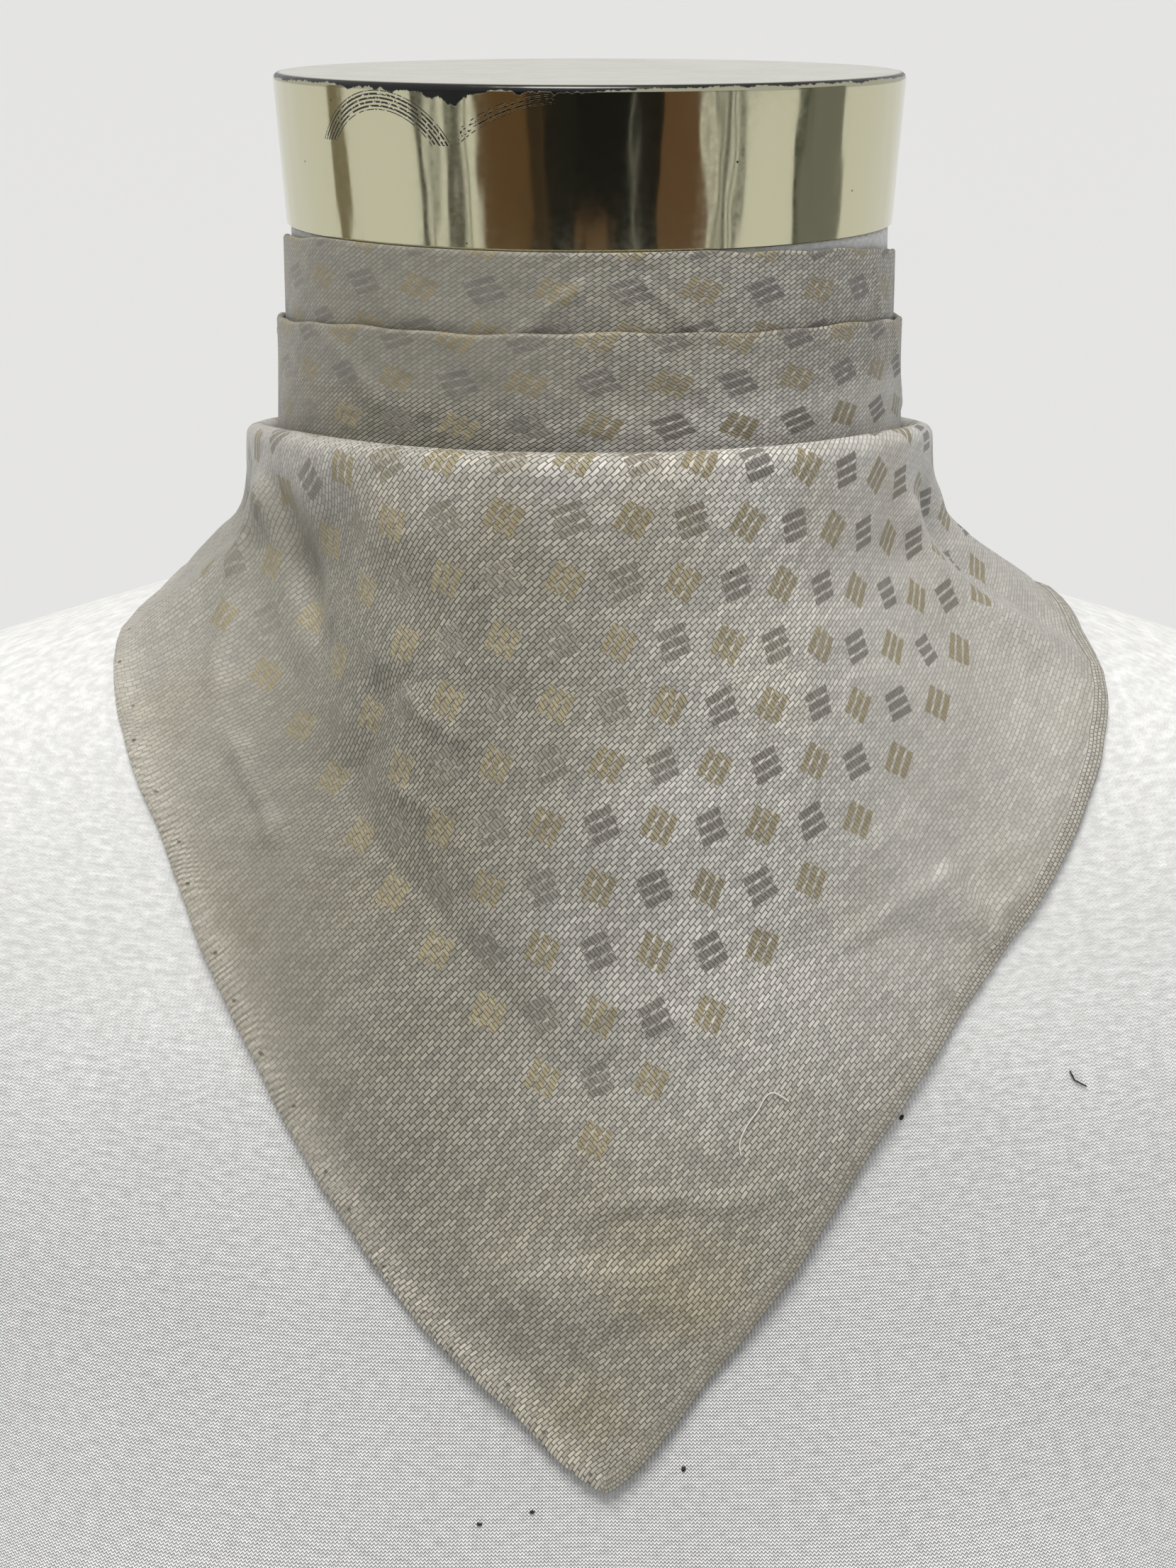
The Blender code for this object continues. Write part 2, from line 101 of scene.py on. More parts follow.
def lengthsDown(grid):  # length from the first point to each, down one column or every column of a grid
    steps = np.linalg.norm(np.diff(grid, axis=-2), axis=-1)
    return np.concatenate([np.zeros((*steps.shape[:-1], 1)), np.cumsum(steps, axis=-1)], axis=-1)


def cornersOf(mesh):  # the vertex at each face corner
    corner = np.empty(len(mesh.loops), dtype=np.int32)
    mesh.loops.foreach_get("vertex_index", corner)
    return corner


def placesOf(mesh):
    spots = np.empty(len(mesh.vertices) * 3)
    mesh.vertices.foreach_get("co", spots)
    return spots.reshape(-1, 3)


def giveMap(mesh, uv):  # a flat map, in millimetres, from one place for each face corner
    mesh.uv_layers.new(name="cut").data.foreach_set("uv", uv.astype(np.float32).ravel())


def giveMarks(mesh, marks):
    for label, values in marks.items():
        mesh.attributes.new(label, "FLOAT", "POINT").data.foreach_set("value", values.astype(np.float32))


def aroundJoined(mesh, azimuth):  # at each face corner, running on past 180 where the map joins behind
    around = azimuth[cornersOf(mesh)]
    for polygon in mesh.polygons:
        loops = list(polygon.loop_indices)
        if polygon.loop_total == 4 and around[loops].max() - around[loops].min() > 180:
            around[loops] = np.where(around[loops] < 0, around[loops] + 360, around[loops])
    return around


def gridPiece(name, grid, uv, marks):  # a sheet from a grid of points, at the origin
    columns, rows = grid.shape[:2]
    faces = [(i * rows + j, i * rows + j + 1, (i + 1) * rows + j + 1, (i + 1) * rows + j)
             for i in range(columns - 1) for j in range(rows - 1)]
    mesh = bpy.data.meshes.new(name)
    mesh.from_pydata([tuple(p) for p in grid.reshape(-1, 3)], [], faces)
    giveMap(mesh, uv.reshape(-1, 2)[cornersOf(mesh)])
    giveMarks(mesh, marks)
    mesh.shade_smooth()
    piece = bpy.data.objects.new(name, mesh)
    bpy.context.collection.objects.link(piece)
    outwards(piece)
    return piece


def applyModifiers(piece):
    bpy.ops.object.select_all(action="DESELECT")
    piece.select_set(True)
    bpy.context.view_layer.objects.active = piece
    for modifier in list(piece.modifiers):
        bpy.ops.object.modifier_apply(modifier=modifier.name)
    piece.select_set(False)


def outwards(piece):  # faces of a closed or open mesh made to agree and to point out
    work = bmesh.new()
    work.from_mesh(piece.data)
    bmesh.ops.recalc_face_normals(work, faces=work.faces)
    work.to_mesh(piece.data)
    work.free()


def thicken(piece, thickness):  # a thin cloth gets its wall, half of it to each side
    wall = piece.modifiers.new("wall", "SOLIDIFY")
    wall.thickness = thickness
    wall.offset = 0
    applyModifiers(piece)
    print(piece.name, "flat: %.4f m2" % (sum(p.area for p in piece.data.polygons) / 2))


def creaseLift(creases, arc, azimuth, down):  # how far creases lift the cloth; arc is metres for a degree
    lift = np.zeros_like(down)
    for width, height, *places in creases:
        nearest = np.full_like(down, 1.0)
        for (azimuthA, downA), (azimuthB, downB) in zip(places, places[1:]):
            dx, dy = (azimuthB - azimuthA) * arc, downB - downA
            px, py = (azimuth - azimuthA) * arc, down - downA
            along = np.clip((px * dx + py * dy) / (dx * dx + dy * dy), 0, 1)
            nearest = np.minimum(nearest, np.hypot(px - along * dx, py - along * dy))
        lift = lift + height * np.exp(-(nearest / width) ** 2)
    return lift


# The form under the cloth

form = {
    "rings": np.array([  # height, half width, depth in front, depth behind, squareness
        (0.0000, 0.1240, 0.0900, 0.0780, 2.20),
        (0.0450, 0.1270, 0.0930, 0.0800, 2.20),
        (0.0950, 0.1360, 0.1030, 0.0860, 2.25),
        (0.1350, 0.1480, 0.1160, 0.0930, 2.30),
        (0.1650, 0.1560, 0.1240, 0.0980, 2.30),
        (0.2000, 0.1620, 0.1240, 0.1030, 2.30),
        (0.2400, 0.1680, 0.1135, 0.1060, 2.25),
        (0.2800, 0.1770, 0.1015, 0.1050, 2.20),
        (0.3100, 0.1830, 0.0925, 0.1010, 2.15),
        (0.3320, 0.1835, 0.0845, 0.0950, 2.10),
        (0.3450, 0.1770, 0.0795, 0.0900, 2.05),
        (0.3550, 0.1640, 0.0755, 0.0850, 2.00),
        (0.3630, 0.1455, 0.0720, 0.0800, 2.00),
        (0.3705, 0.1225, 0.0690, 0.0750, 2.00),
        (0.3755, 0.1055, 0.0672, 0.0710, 2.00),
        (0.3805, 0.0895, 0.0655, 0.0680, 2.00),
        (0.3880, 0.0750, 0.0635, 0.0648, 2.00),
        (0.3970, 0.0655, 0.0617, 0.0620, 2.00),
        (0.4100, 0.0603, 0.0600, 0.0600, 2.00),
        (0.4280, 0.0589, 0.0590, 0.0590, 2.00),
        (0.4430, 0.0587, 0.0587, 0.0587, 2.00),
        (0.4567, 0.0585, 0.0585, 0.0585, 2.00),
    ]),
    "bustSwell": 0.014,
    "bustAzimuth": math.radians(33),
    "bustWidth": math.radians(17),
    "bustHeight": 0.165,
    "bustLength": 0.045,
    "columns": 180,
    "rowsPerRing": 8,
    "coverRadius": 0.12,      # the cover's wales widen less than the form does
    "pathSteps": 480,
    "normalReach": 5,         # path steps to each side that the outline's direction is taken over
}


def formPlaces(azimuth, places):  # radius and height at azimuths in degrees and places in the table
    ring = tableAt(form["rings"], places)
    angle = np.radians(azimuth)
    depth = np.where(np.cos(angle) > 0, ring[:, 2], ring[:, 3])
    across = np.abs(np.sin(angle)) / ring[:, 1]
    along = np.abs(np.cos(angle)) / depth
    radius = (across ** ring[:, 4] + along ** ring[:, 4]) ** (-1 / ring[:, 4])
    turned = np.abs((angle + math.pi) % (2 * math.pi) - math.pi)
    aside = (turned - form["bustAzimuth"]) / form["bustWidth"]
    above = (ring[:, 0] - form["bustHeight"]) / form["bustLength"]
    return radius + form["bustSwell"] * np.exp(-(aside ** 2 + above ** 2) / 2), ring[:, 0]


def outlineOf(azimuth):  # the form's outline in one direction, from the top of its neck down
    last = len(form["rings"]) - 1
    radius, height = formPlaces(azimuth, last * (1 - np.arange(form["pathSteps"] + 1) / form["pathSteps"]))
    lengths = np.concatenate([[0.0], np.cumsum(np.hypot(np.diff(radius), np.diff(height)))])
    reach = form["normalReach"]
    index = np.arange(len(radius))
    before, after = np.maximum(index - reach, 0), np.minimum(index + reach, len(radius) - 1)
    dr, dz = radius[after] - radius[before], height[after] - height[before]
    run = np.hypot(dr, dz)
    return {"azimuth": azimuth, "radius": radius, "height": height, "lengths": lengths,
            "outR": -dz / run, "outZ": dr / run}


def downTo(outline, height):  # distance along an outline to a height
    return np.interp(-height, -outline["height"], outline["lengths"])


def moveOut(outline, distances, offsets):  # points along an outline, moved out from the form
    distances = np.atleast_1d(distances)

    def along(label):
        return np.interp(distances, outline["lengths"], outline[label])
    radius = along("radius") + offsets * along("outR")
    height = along("height") + offsets * along("outZ")
    angle = math.radians(outline["azimuth"])
    return np.stack([radius * math.sin(angle), -radius * math.cos(angle), height], axis=1)


def makeForm():  # a cylinder cut into rings, each point then set from the table
    rows = (len(form["rings"]) - 1) * form["rowsPerRing"] + 1
    bpy.ops.mesh.primitive_cylinder_add(vertices=form["columns"], radius=1, depth=2, end_fill_type="NGON")
    piece = bpy.context.object
    piece.name = "jerseyForm"
    mesh = piece.data
    spots = placesOf(mesh)
    upright = [abs(spots[a, 2] - spots[b, 2]) > 1 for a, b in (edge.vertices for edge in mesh.edges)]
    bpy.ops.object.mode_set(mode="EDIT")
    bpy.ops.mesh.select_mode(type="EDGE")
    bpy.ops.mesh.select_all(action="DESELECT")
    bpy.ops.object.mode_set(mode="OBJECT")
    mesh.edges.foreach_set("select", upright)
    bpy.ops.object.mode_set(mode="EDIT")
    bpy.ops.mesh.subdivide_edgering(number_cuts=rows - 2, interpolation="LINEAR", smoothness=0)
    bpy.ops.object.mode_set(mode="OBJECT")
    spots = placesOf(mesh)
    azimuth = np.degrees(np.arctan2(spots[:, 0], -spots[:, 1]))
    radius, height = formPlaces(azimuth, (spots[:, 2] + 1) / 2 * (len(form["rings"]) - 1))
    angle = np.radians(azimuth)
    spots = np.stack([radius * np.sin(angle), -radius * np.cos(angle), height], axis=1)
    mesh.vertices.foreach_set("co", spots.ravel())
    mesh.shade_smooth()
    # the cover's map: round from the front, and up
    corner = cornersOf(mesh)
    wide = np.interp(spots[:, 2], form["rings"][:, 0], form["rings"][:, 1:4].mean(axis=1))[corner]
    across = np.radians(aroundJoined(mesh, azimuth)) * (wide + form["coverRadius"]) / 2
    giveMap(mesh, np.stack([across, spots[corner, 2]], axis=1) * 1000)
    outwards(piece)
    return piece


# The front drape: the cowl and the corner that hangs below it

drape = {
    "hang": np.array([  # azimuth, top, return off, top off, hollow off, hollow at, lie at, left, right
        (0, 0.4232, 0.0081, 0.0160, 0.0160, 0.034, 0.115, 0.1900, 0.1900),
        (10, 0.4231, 0.0080, 0.0158, 0.0156, 0.034, 0.113, 0.1738, 0.1693),
        (20, 0.4229, 0.0077, 0.0152, 0.0146, 0.034, 0.108, 0.1564, 0.1487),
        (30, 0.4226, 0.0073, 0.0142, 0.0132, 0.033, 0.100, 0.1335, 0.1267),
        (40, 0.4222, 0.0067, 0.0130, 0.0112, 0.032, 0.090, 0.1100, 0.1080),
        (50, 0.4216, 0.0061, 0.0117, 0.0092, 0.030, 0.079, 0.0874, 0.0936),
        (60, 0.4206, 0.0056, 0.0106, 0.0076, 0.028, 0.068, 0.0730, 0.0806),
        (75, 0.4185, 0.0051, 0.0095, 0.0064, 0.027, 0.056, 0.0600, 0.0655),
        (90, 0.4158, 0.0047, 0.0086, 0.0056, 0.026, 0.046, 0.0486, 0.0566),
        (110, 0.4132, 0.0043, 0.0074, 0.0054, 0.022, 0.038, 0.0380, 0.0440),
        (130, 0.4125, 0.0042, 0.0066, 0.0058, 0.018, 0.032, 0.0290, 0.0320),
        (150, 0.4132, 0.0042, 0.0063, 0.0058, 0.014, 0.028, 0.0230, 0.0250),
        (172, 0.4145, 0.0041, 0.0062, 0.0058, 0.012, 0.028, 0.0170, 0.0180),
    ]),
    "tipAzimuth": 1.5,
    "endAzimuth": 172.0,
    "returnLength": 0.011,
    "rest": 0.0008,           # middle of the cloth, off the form, where it lies on it
    "settle": 0.012,          # the creases grow from nothing over this length below the cowl's fold
    "frontAzimuth": 66.0,     # the columns are close together inside this, on both sides
    "frontColumns": 184,
    "backColumns": 32,        # on each side
    "returnRows": 5,
    "foldRows": 10,
    "rows": 140,
    "hemRows": np.array([4.4, 3.8, 3.4, 3.1, 2.9, 2.7, 2.45, 2.0, 1.5, 1.0, 0.6, 0.3, 0.12, 0.0]) / 1000,
    "thickness": 0.00045,
    "hemThickness": 0.00105,
    "arc": 0.085 * math.radians(1),     # about what one degree of azimuth measures round the cloth
    "creaseShare": 1.5,
    "creaseEnd": 0.010,       # the creases die out over this length above the hem, down to a share of them
    "creaseKept": 0.4,
    "hemLift": 0.00035,
    "hemLiftLength": 0.012,
    "hemLiftTurns": (0.31, 1.3, 0.113),     # how it comes and goes: radians to a degree, shift, again
    # of the waves in the hem's line: height, radians to the metre, shift
    "hemWaves": [(0.0003, 61, 0), (0.00015, 143, 1), (0.00008, 390, 0)],
    "waveStart": 0.02,        # they grow from nothing at the corner over this length
    "bandWidth": 0.0031,      # of the doubled hem on the right, and of the rolled one on the left
    "bandStep": 0.0005,       # they thicken over these lengths
    "rollWidth": 0.0042,
    "rollStep": 0.0030,
    "rollShare": 0.8,
    "edgeShare": 0.55,        # of the hem's thickness is left at its very edge
    "edgeStep": 0.0006,
    "outShare": 0.35,         # how far the thicker wall stands to the outside
    "glintLength": 0.017,     # painted highlight: the floats are painted brighter over the fold, down to here
    "glint": (0.6, 0.5),      # least, and more where they shine anyway
    # width, height, then azimuths and lengths of cloth below the fold along the crease
    "creases": [
        (0.0150, -0.0040, (-46, 0.026), (-16, 0.105)),
        (0.0110, 0.0016, (-30, 0.012), (8, 0.062)),
        (0.0055, 0.0016, (58, 0.014), (70, 0.060)),
        (0.0050, -0.0015, (70, 0.012), (80, 0.052)),
        (0.0050, 0.0009, (80, 0.014), (93, 0.050)),
        (0.0085, 0.0017, (68, 0.045), (86, 0.038), (100, 0.034), (112, 0.029)),
        (0.0090, 0.0009, (-70, 0.043), (-88, 0.036), (-102, 0.031)),
        (0.0060, 0.0016, (-62, 0.012), (-74, 0.050)),
        (0.0055, -0.0014, (-78, 0.012), (-88, 0.044)),
        (0.0060, 0.0014, (108, 0.010), (116, 0.040)),
        (0.0060, 0.0014, (-106, 0.010), (-118, 0.036)),
        (0.0060, 0.0012, (134, 0.008), (146, 0.028)),
        (0.0060, 0.0012, (-136, 0.008), (-148, 0.026)),
        (0.0070, -0.0012, (22, 0.090), (42, 0.098)),
        (0.0065, 0.0013, (-6, 0.146), (9, 0.150)),
        (0.0014, 0.0007, (-23.4, 0.0396), (-20.6, 0.0430), (-18.4, 0.0447), (-15.0, 0.0468)),
        (0.0013, 0.0006, (-24.2, 0.0563), (-21.6, 0.0580), (-18.8, 0.0598)),
        (0.0013, 0.0004, (-16.9, 0.0313), (-13.9, 0.0343)),
        (0.0024, -0.0005, (-29.6, 0.0388), (-26.0, 0.0380), (-23.0, 0.0368)),
        (0.0042, -0.0015, (-33.6, 0.0612), (-28.4, 0.0477), (-27.1, 0.0405)),
        (0.0030, 0.0010, (-34.8, 0.0602), (-37.0, 0.0664), (-40.0, 0.0722)),
        (0.0075, -0.0014, (-39.3, 0.0068), (-24.6, 0.0213), (-9.8, 0.0391)),
        (0.0017, 0.0011, (40.6, 0.0790), (42.3, 0.0872), (43.6, 0.0930)),
        (0.0017, 0.0009, (43.4, 0.0925), (45.4, 0.0882), (47.2, 0.0862)),
        (0.0050, 0.0009, (36.0, 0.0700), (39.0, 0.0860)),
        (0.0020, 0.0008, (2.0, 0.1308), (5.4, 0.1300), (10.2, 0.1300), (13.5, 0.1318), (17.5, 0.1301)),
        (0.0030, -0.0007, (4.0, 0.1340), (9.8, 0.1336), (14.0, 0.1346)),
        (0.0030, 0.0007, (-4.7, 0.1004), (4.3, 0.0931), (13.0, 0.1000)),
        (0.0045, -0.0011, (-1.4, 0.1630), (3.8, 0.1568), (6.9, 0.1528)),
        (0.0050, 0.0006, (-7.0, 0.1420), (-2.0, 0.1540)),
        (0.0038, 0.0010, (-60.7, 0.0090), (-53.4, 0.0225), (-43.6, 0.0341)),
        (0.0036, -0.0009, (-57.0, 0.0080), (-48.5, 0.0220), (-40.5, 0.0310)),
        (0.0040, 0.0008, (-47.7, 0.0077), (-40.3, 0.0272)),
        (0.0026, 0.0006, (-66.0, 0.0120), (-60.0, 0.0330), (-52.0, 0.0480)),
        (0.0045, 0.0007, (30.0, 0.0300), (24.0, 0.0620)),
        (0.0055, -0.0008, (12.0, 0.0520), (18.0, 0.0830)),
        (0.0035, -0.0006, (48.0, 0.0300), (56.0, 0.0540)),
        (0.0060, 0.0008, (-12.0, 0.0700), (-6.0, 0.0950)),
        (0.0030, -0.0007, (95.0, 0.0100), (104.0, 0.0440)),
        (0.0030, -0.0007, (-94.0, 0.0100), (-102.0, 0.0380)),
        (0.0034, -0.0007, (121.0, 0.0080), (130.0, 0.0300)),
        (0.0034, -0.0007, (-122.0, 0.0080), (-131.0, 0.0280)),
        (0.0030, 0.0008, (152.0, 0.0060), (160.0, 0.0220)),
        (0.0030, 0.0008, (-152.0, 0.0060), (-161.0, 0.0210)),
        (0.0022, 0.0007, (-14.0, 0.1180), (-6.0, 0.1060), (2.0, 0.1010)),
        (0.0020, 0.0007, (-46.0, 0.0560), (-40.0, 0.0660), (-35.0, 0.0790)),
        (0.0024, 0.0006, (26.0, 0.0900), (33.0, 0.0840), (39.0, 0.0800)),
        (0.0020, 0.0006, (-3.0, 0.1420), (4.0, 0.1440), (9.0, 0.1400)),
    ],
    # yellowed and soiled spots: azimuth, length of cloth below the fold, size, strength
    "stains": np.array([
        (10, 0.004, 0.013, 0.28), (-12, 0.006, 0.012, 0.26), (34, 0.006, 0.010, 0.20),
        (52, 0.004, 0.008, 0.16), (-30, 0.005, 0.010, 0.25), (7.6, 0.1425, 0.012, 0.34),
        (10, 0.152, 0.008, 0.20), (-1.5, 0.170, 0.010, 0.30), (-9, 0.136, 0.012, 0.15),
        (0.0, 0.122, 0.010, 0.10), (-45, 0.086, 0.012, 0.22), (-55, 0.062, 0.014, 0.16),
        (-36, 0.103, 0.010, 0.14), (47, 0.088, 0.009, 0.15), (20, 0.030, 0.012, 0.10),
        (-2, 0.050, 0.012, 0.10), (-20, 0.070, 0.016, 0.12), (120, 0.018, 0.012, 0.20),
        (-110, 0.016, 0.012, 0.20), (165, 0.010, 0.008, 0.2),
    ]),
}


def hangAt(azimuth):
    top, returnOff, topOff, hollowOff, hollowAt, lieAt = tableFor(drape["hang"], abs(azimuth))[0, 1:7]
    fromTip = azimuth - drape["tipAzimuth"]
    length = tableFor(drape["hang"], abs(fromTip))[0, 7 if fromTip < 0 else 8]
    return top, returnOff, topOff, hollowOff, hollowAt, lieAt, length


def foldBend(hang):  # radius of the cowl's fold
    return (hang[2] - hang[1]) / 2


def drapeColumn(azimuth, downs, returnRows, foldRows, creased=True):  # downs: from the fold's side to the hem
    outline = outlineOf(azimuth)
    top, returnOff, topOff, hollowOff, hollowAt, lieAt, _ = hangAt(azimuth)
    bend = (topOff - returnOff) / 2
    foldAt = downTo(outline, top - bend)
    turn = math.pi * np.arange(foldRows + 1) / foldRows
    upper = hollowOff + (topOff - hollowOff) * (1 - softStep(downs / hollowAt))
    lower = hollowOff + (drape["rest"] - hollowOff) * softStep((downs - hollowAt) / (lieAt - hollowAt))
    offset = np.where(downs < hollowAt, upper, lower)
    if creased:
        plain = moveOut(outline, foldAt + np.concatenate([[0.0], downs]), np.concatenate([[topOff], offset]))
        run = lengthsDown(plain)[1:]
        least = drape["creaseKept"]
        kept = least + (1 - least) * softStep((run[-1] - run) / drape["creaseEnd"])
        lift = creaseLift(drape["creases"], drape["arc"], azimuth, run) * drape["creaseShare"]
        offset = offset + softStep(run / drape["settle"]) * kept * lift
        often, shift, seldom = drape["hemLiftTurns"]
        loose = drape["hemLift"] * (1 + math.sin(azimuth * often + shift) * math.sin(azimuth * seldom))
        offset = offset + loose * softStep(1 - (downs[-1] - downs) / drape["hemLiftLength"])
    offset = np.maximum(offset, drape["rest"])
    distances = np.concatenate([
        foldAt + drape["returnLength"] * (1 - np.arange(returnRows) / returnRows),
        foldAt - bend * np.sin(turn), foldAt + downs])
    offsets = np.concatenate([np.full(returnRows, returnOff), returnOff + bend * (1 - np.cos(turn)), offset])
    return moveOut(outline, distances, offsets)


def downAt(azimuth, run):  # distance along the form at a length of cloth below the fold
    hang = hangAt(azimuth)
    downs = np.linspace(0, hang[6], 160)[1:]
    column = drapeColumn(azimuth, downs, 1, 2, creased=False)
    return np.interp(run, lengthsDown(column[3:])[1:], downs)


def onDrape(azimuth, run):  # the point of the cloth at a length below the fold, and the form's point under it
    down = downAt(azimuth, run)
    column = drapeColumn(azimuth, np.array([down, down + 0.02]), 1, 2)
    outline, hang = outlineOf(azimuth), hangAt(azimuth)
    return column[-2], moveOut(outline, downTo(outline, hang[0] - foldBend(hang)) + down, 0.0)[0]


def unroll(grid, steps=220):  # the flat cut of a curved grid, every part kept as rigid as it can be
    columns, rows = grid.shape[:2]
    index = np.arange(columns * rows).reshape(columns, rows)
    a, b, c, d = (x.ravel() for x in (index[:-1, :-1], index[:-1, 1:], index[1:, 1:], index[1:, :-1]))
    triangles = np.vstack([np.stack([a, b, c], 1), np.stack([a, c, d], 1)])
    corner = grid.reshape(-1, 3)[triangles]
    edge, other = corner[:, 1] - corner[:, 0], corner[:, 2] - corner[:, 0]
    length = np.linalg.norm(edge, axis=1)
    along = edge / length[:, None]
    local = np.zeros((len(triangles), 3, 2))
    local[:, 1, 0] = length
    local[:, 2, 0] = (other * along).sum(1)
    local[:, 2, 1] = np.linalg.norm(np.cross(edge, other), axis=1) / length
    cotangent = np.empty((len(triangles), 3))
    laplacian = np.zeros((index.size, index.size))
    for k in range(3):
        i, j = (k + 1) % 3, (k + 2) % 3
        p, q = local[:, i] - local[:, k], local[:, j] - local[:, k]
        cotangent[:, k] = (p * q).sum(1) / np.abs(p[:, 0] * q[:, 1] - p[:, 1] * q[:, 0])
        for m, n, sign in ((i, j, -1), (j, i, -1), (i, i, 1), (j, j, 1)):
            np.add.at(laplacian, (triangles[:, m], triangles[:, n]), sign * cotangent[:, k])
    laplacian[0] = 0
    laplacian[0, 0] = 1
    inverse = np.linalg.inv(laplacian)
    down = lengthsDown(grid)
    fan = np.radians(drape["endAzimuth"] * 0.55) * np.linspace(-1, 1, columns)[:, None]
    flat = np.stack([(0.13 + down) * np.sin(fan), -(0.13 + down) * np.cos(fan)], axis=2).reshape(-1, 2)
    for _ in range(steps):
        now = flat[triangles]
        spin = np.zeros((len(triangles), 2, 2))
        sides = []
        for k in range(3):
            i, j = (k + 1) % 3, (k + 2) % 3
            rest = local[:, i] - local[:, j]
            sides.append((i, j, cotangent[:, k][:, None], rest))
            spin += cotangent[:, k][:, None, None] * (now[:, i] - now[:, j])[:, :, None] * rest[:, None, :]
        angle = np.arctan2(spin[:, 1, 0] - spin[:, 0, 1], spin[:, 0, 0] + spin[:, 1, 1])
        cosine, sine = np.cos(angle)[:, None], np.sin(angle)[:, None]
        pull = np.zeros_like(flat)
        for i, j, weight, rest in sides:
            turned = np.concatenate([cosine * rest[:, :1] - sine * rest[:, 1:],
                                     sine * rest[:, :1] + cosine * rest[:, 1:]], axis=1)
            np.add.at(pull, triangles[:, i], weight * turned)
            np.add.at(pull, triangles[:, j], -weight * turned)
        pull[0] = 0
        flat = inverse @ pull
    return flat.reshape(columns, rows, 2)


def azimuthsOf(frontColumns, backColumns):  # columns close together in front
    front, end = drape["frontAzimuth"], drape["endAzimuth"]
    back = front + (end - front) * np.arange(1, backColumns + 1) / backColumns
    even = np.concatenate([-back[::-1], np.linspace(-front, front, frontColumns + 1), back])
    return even + drape["tipAzimuth"] * (1 - np.abs(even) / end)


def placesDown(returnRows, foldRows, shares):  # to 1 on the turned-in edge, to 2 on the fold, to 3 below it
    return np.concatenate([
        np.arange(returnRows) / returnRows, 1 + np.arange(foldRows + 1) / foldRows, 2 + shares])


cut = {
    "columns": 40,         # of the coarse grid that is unrolled
    "sideColumns": 9,
    "returnRows": 2,
    "foldRows": 4,
    "rows": 26,
    "pitch": 10.0,         # of the motifs on the flat cloth, in millimetres
    "spread": 0.014,       # how far round it each charted motif pulls the pattern
    # motifs charted from the photo: column and row from the lowest, azimuth, length of cloth below the fold;
    # their places there were read by eye, and a separate program turned them into the last two columns
    "motifs": np.array([
        (0, 0, 0.6, 0.1186), (1, 1, 6.9, 0.1082), (2, 2, 13.8, 0.0962), (3, 3, 21.3, 0.0848),
        (-4, 4, -25.0, 0.0755), (4, 4, 26.3, 0.0739), (-5, 5, -28.9, 0.0653), (-3, 5, -19.1, 0.0625),
        (0, 5, 1.2, 0.0607), (1, 5, 8.1, 0.0608), (2, 5, 14.6, 0.0615), (3, 5, 20.4, 0.0624),
        (4, 5, 26.4, 0.0637), (5, 5, 32.1, 0.0644), (-6, 6, -33.4, 0.0561), (-4, 6, -24.5, 0.0520),
        (6, 6, 37.5, 0.0556), (-7, 7, -37.8, 0.0474), (-5, 7, -29.1, 0.0428), (-3, 7, -18.1, 0.0389),
        (7, 7, 45.0, 0.0485), (-8, 8, -44.3, 0.0410), (-6, 8, -35.3, 0.0348), (-4, 8, -24.6, 0.0303),
        (1, 8, 10.2, 0.0281), (2, 8, 17.9, 0.0295), (3, 8, 24.5, 0.0308), (4, 8, 30.2, 0.0324),
        (5, 8, 35.6, 0.0340), (6, 8, 41.3, 0.0360), (7, 8, 47.7, 0.0384), (8, 8, 54.1, 0.0399),
        (-7, 9, -44.3, 0.0285), (-5, 9, -32.7, 0.0223), (-3, 9, -19.8, 0.0179), (1, 9, 12.3, 0.0180),
        (2, 9, 20.2, 0.0192), (3, 9, 27.6, 0.0208), (4, 9, 34.0, 0.0223), (5, 9, 39.5, 0.0241),
        (6, 9, 45.2, 0.0259), (7, 9, 51.4, 0.0284), (8, 9, 57.0, 0.0308), (-8, 10, -55.1, 0.0216),
        (-6, 10, -44.8, 0.0164), (-4, 10, -28.8, 0.0096), (1, 10, 13.2, 0.0074), (2, 10, 22.5, 0.0089),
        (3, 10, 30.8, 0.0107), (4, 10, 38.0, 0.0128), (5, 10, 44.6, 0.0144), (6, 10, 50.8, 0.0163),
        (7, 10, 56.5, 0.0186), (8, 10, 61.7, 0.0217), (9, 10, 64.9, 0.0249), (-7, 11, -57.1, 0.0094),
        (-5, 11, -38.5, 0.0014), (3, 11, 31.2, 0.0006), (4, 11, 40.0, 0.0026), (5, 11, 49.0, 0.0047),
        (6, 11, 55.9, 0.0071), (7, 11, 68.5, 0.0102), (8, 11, 75.8, 0.0130),
    ]),
}


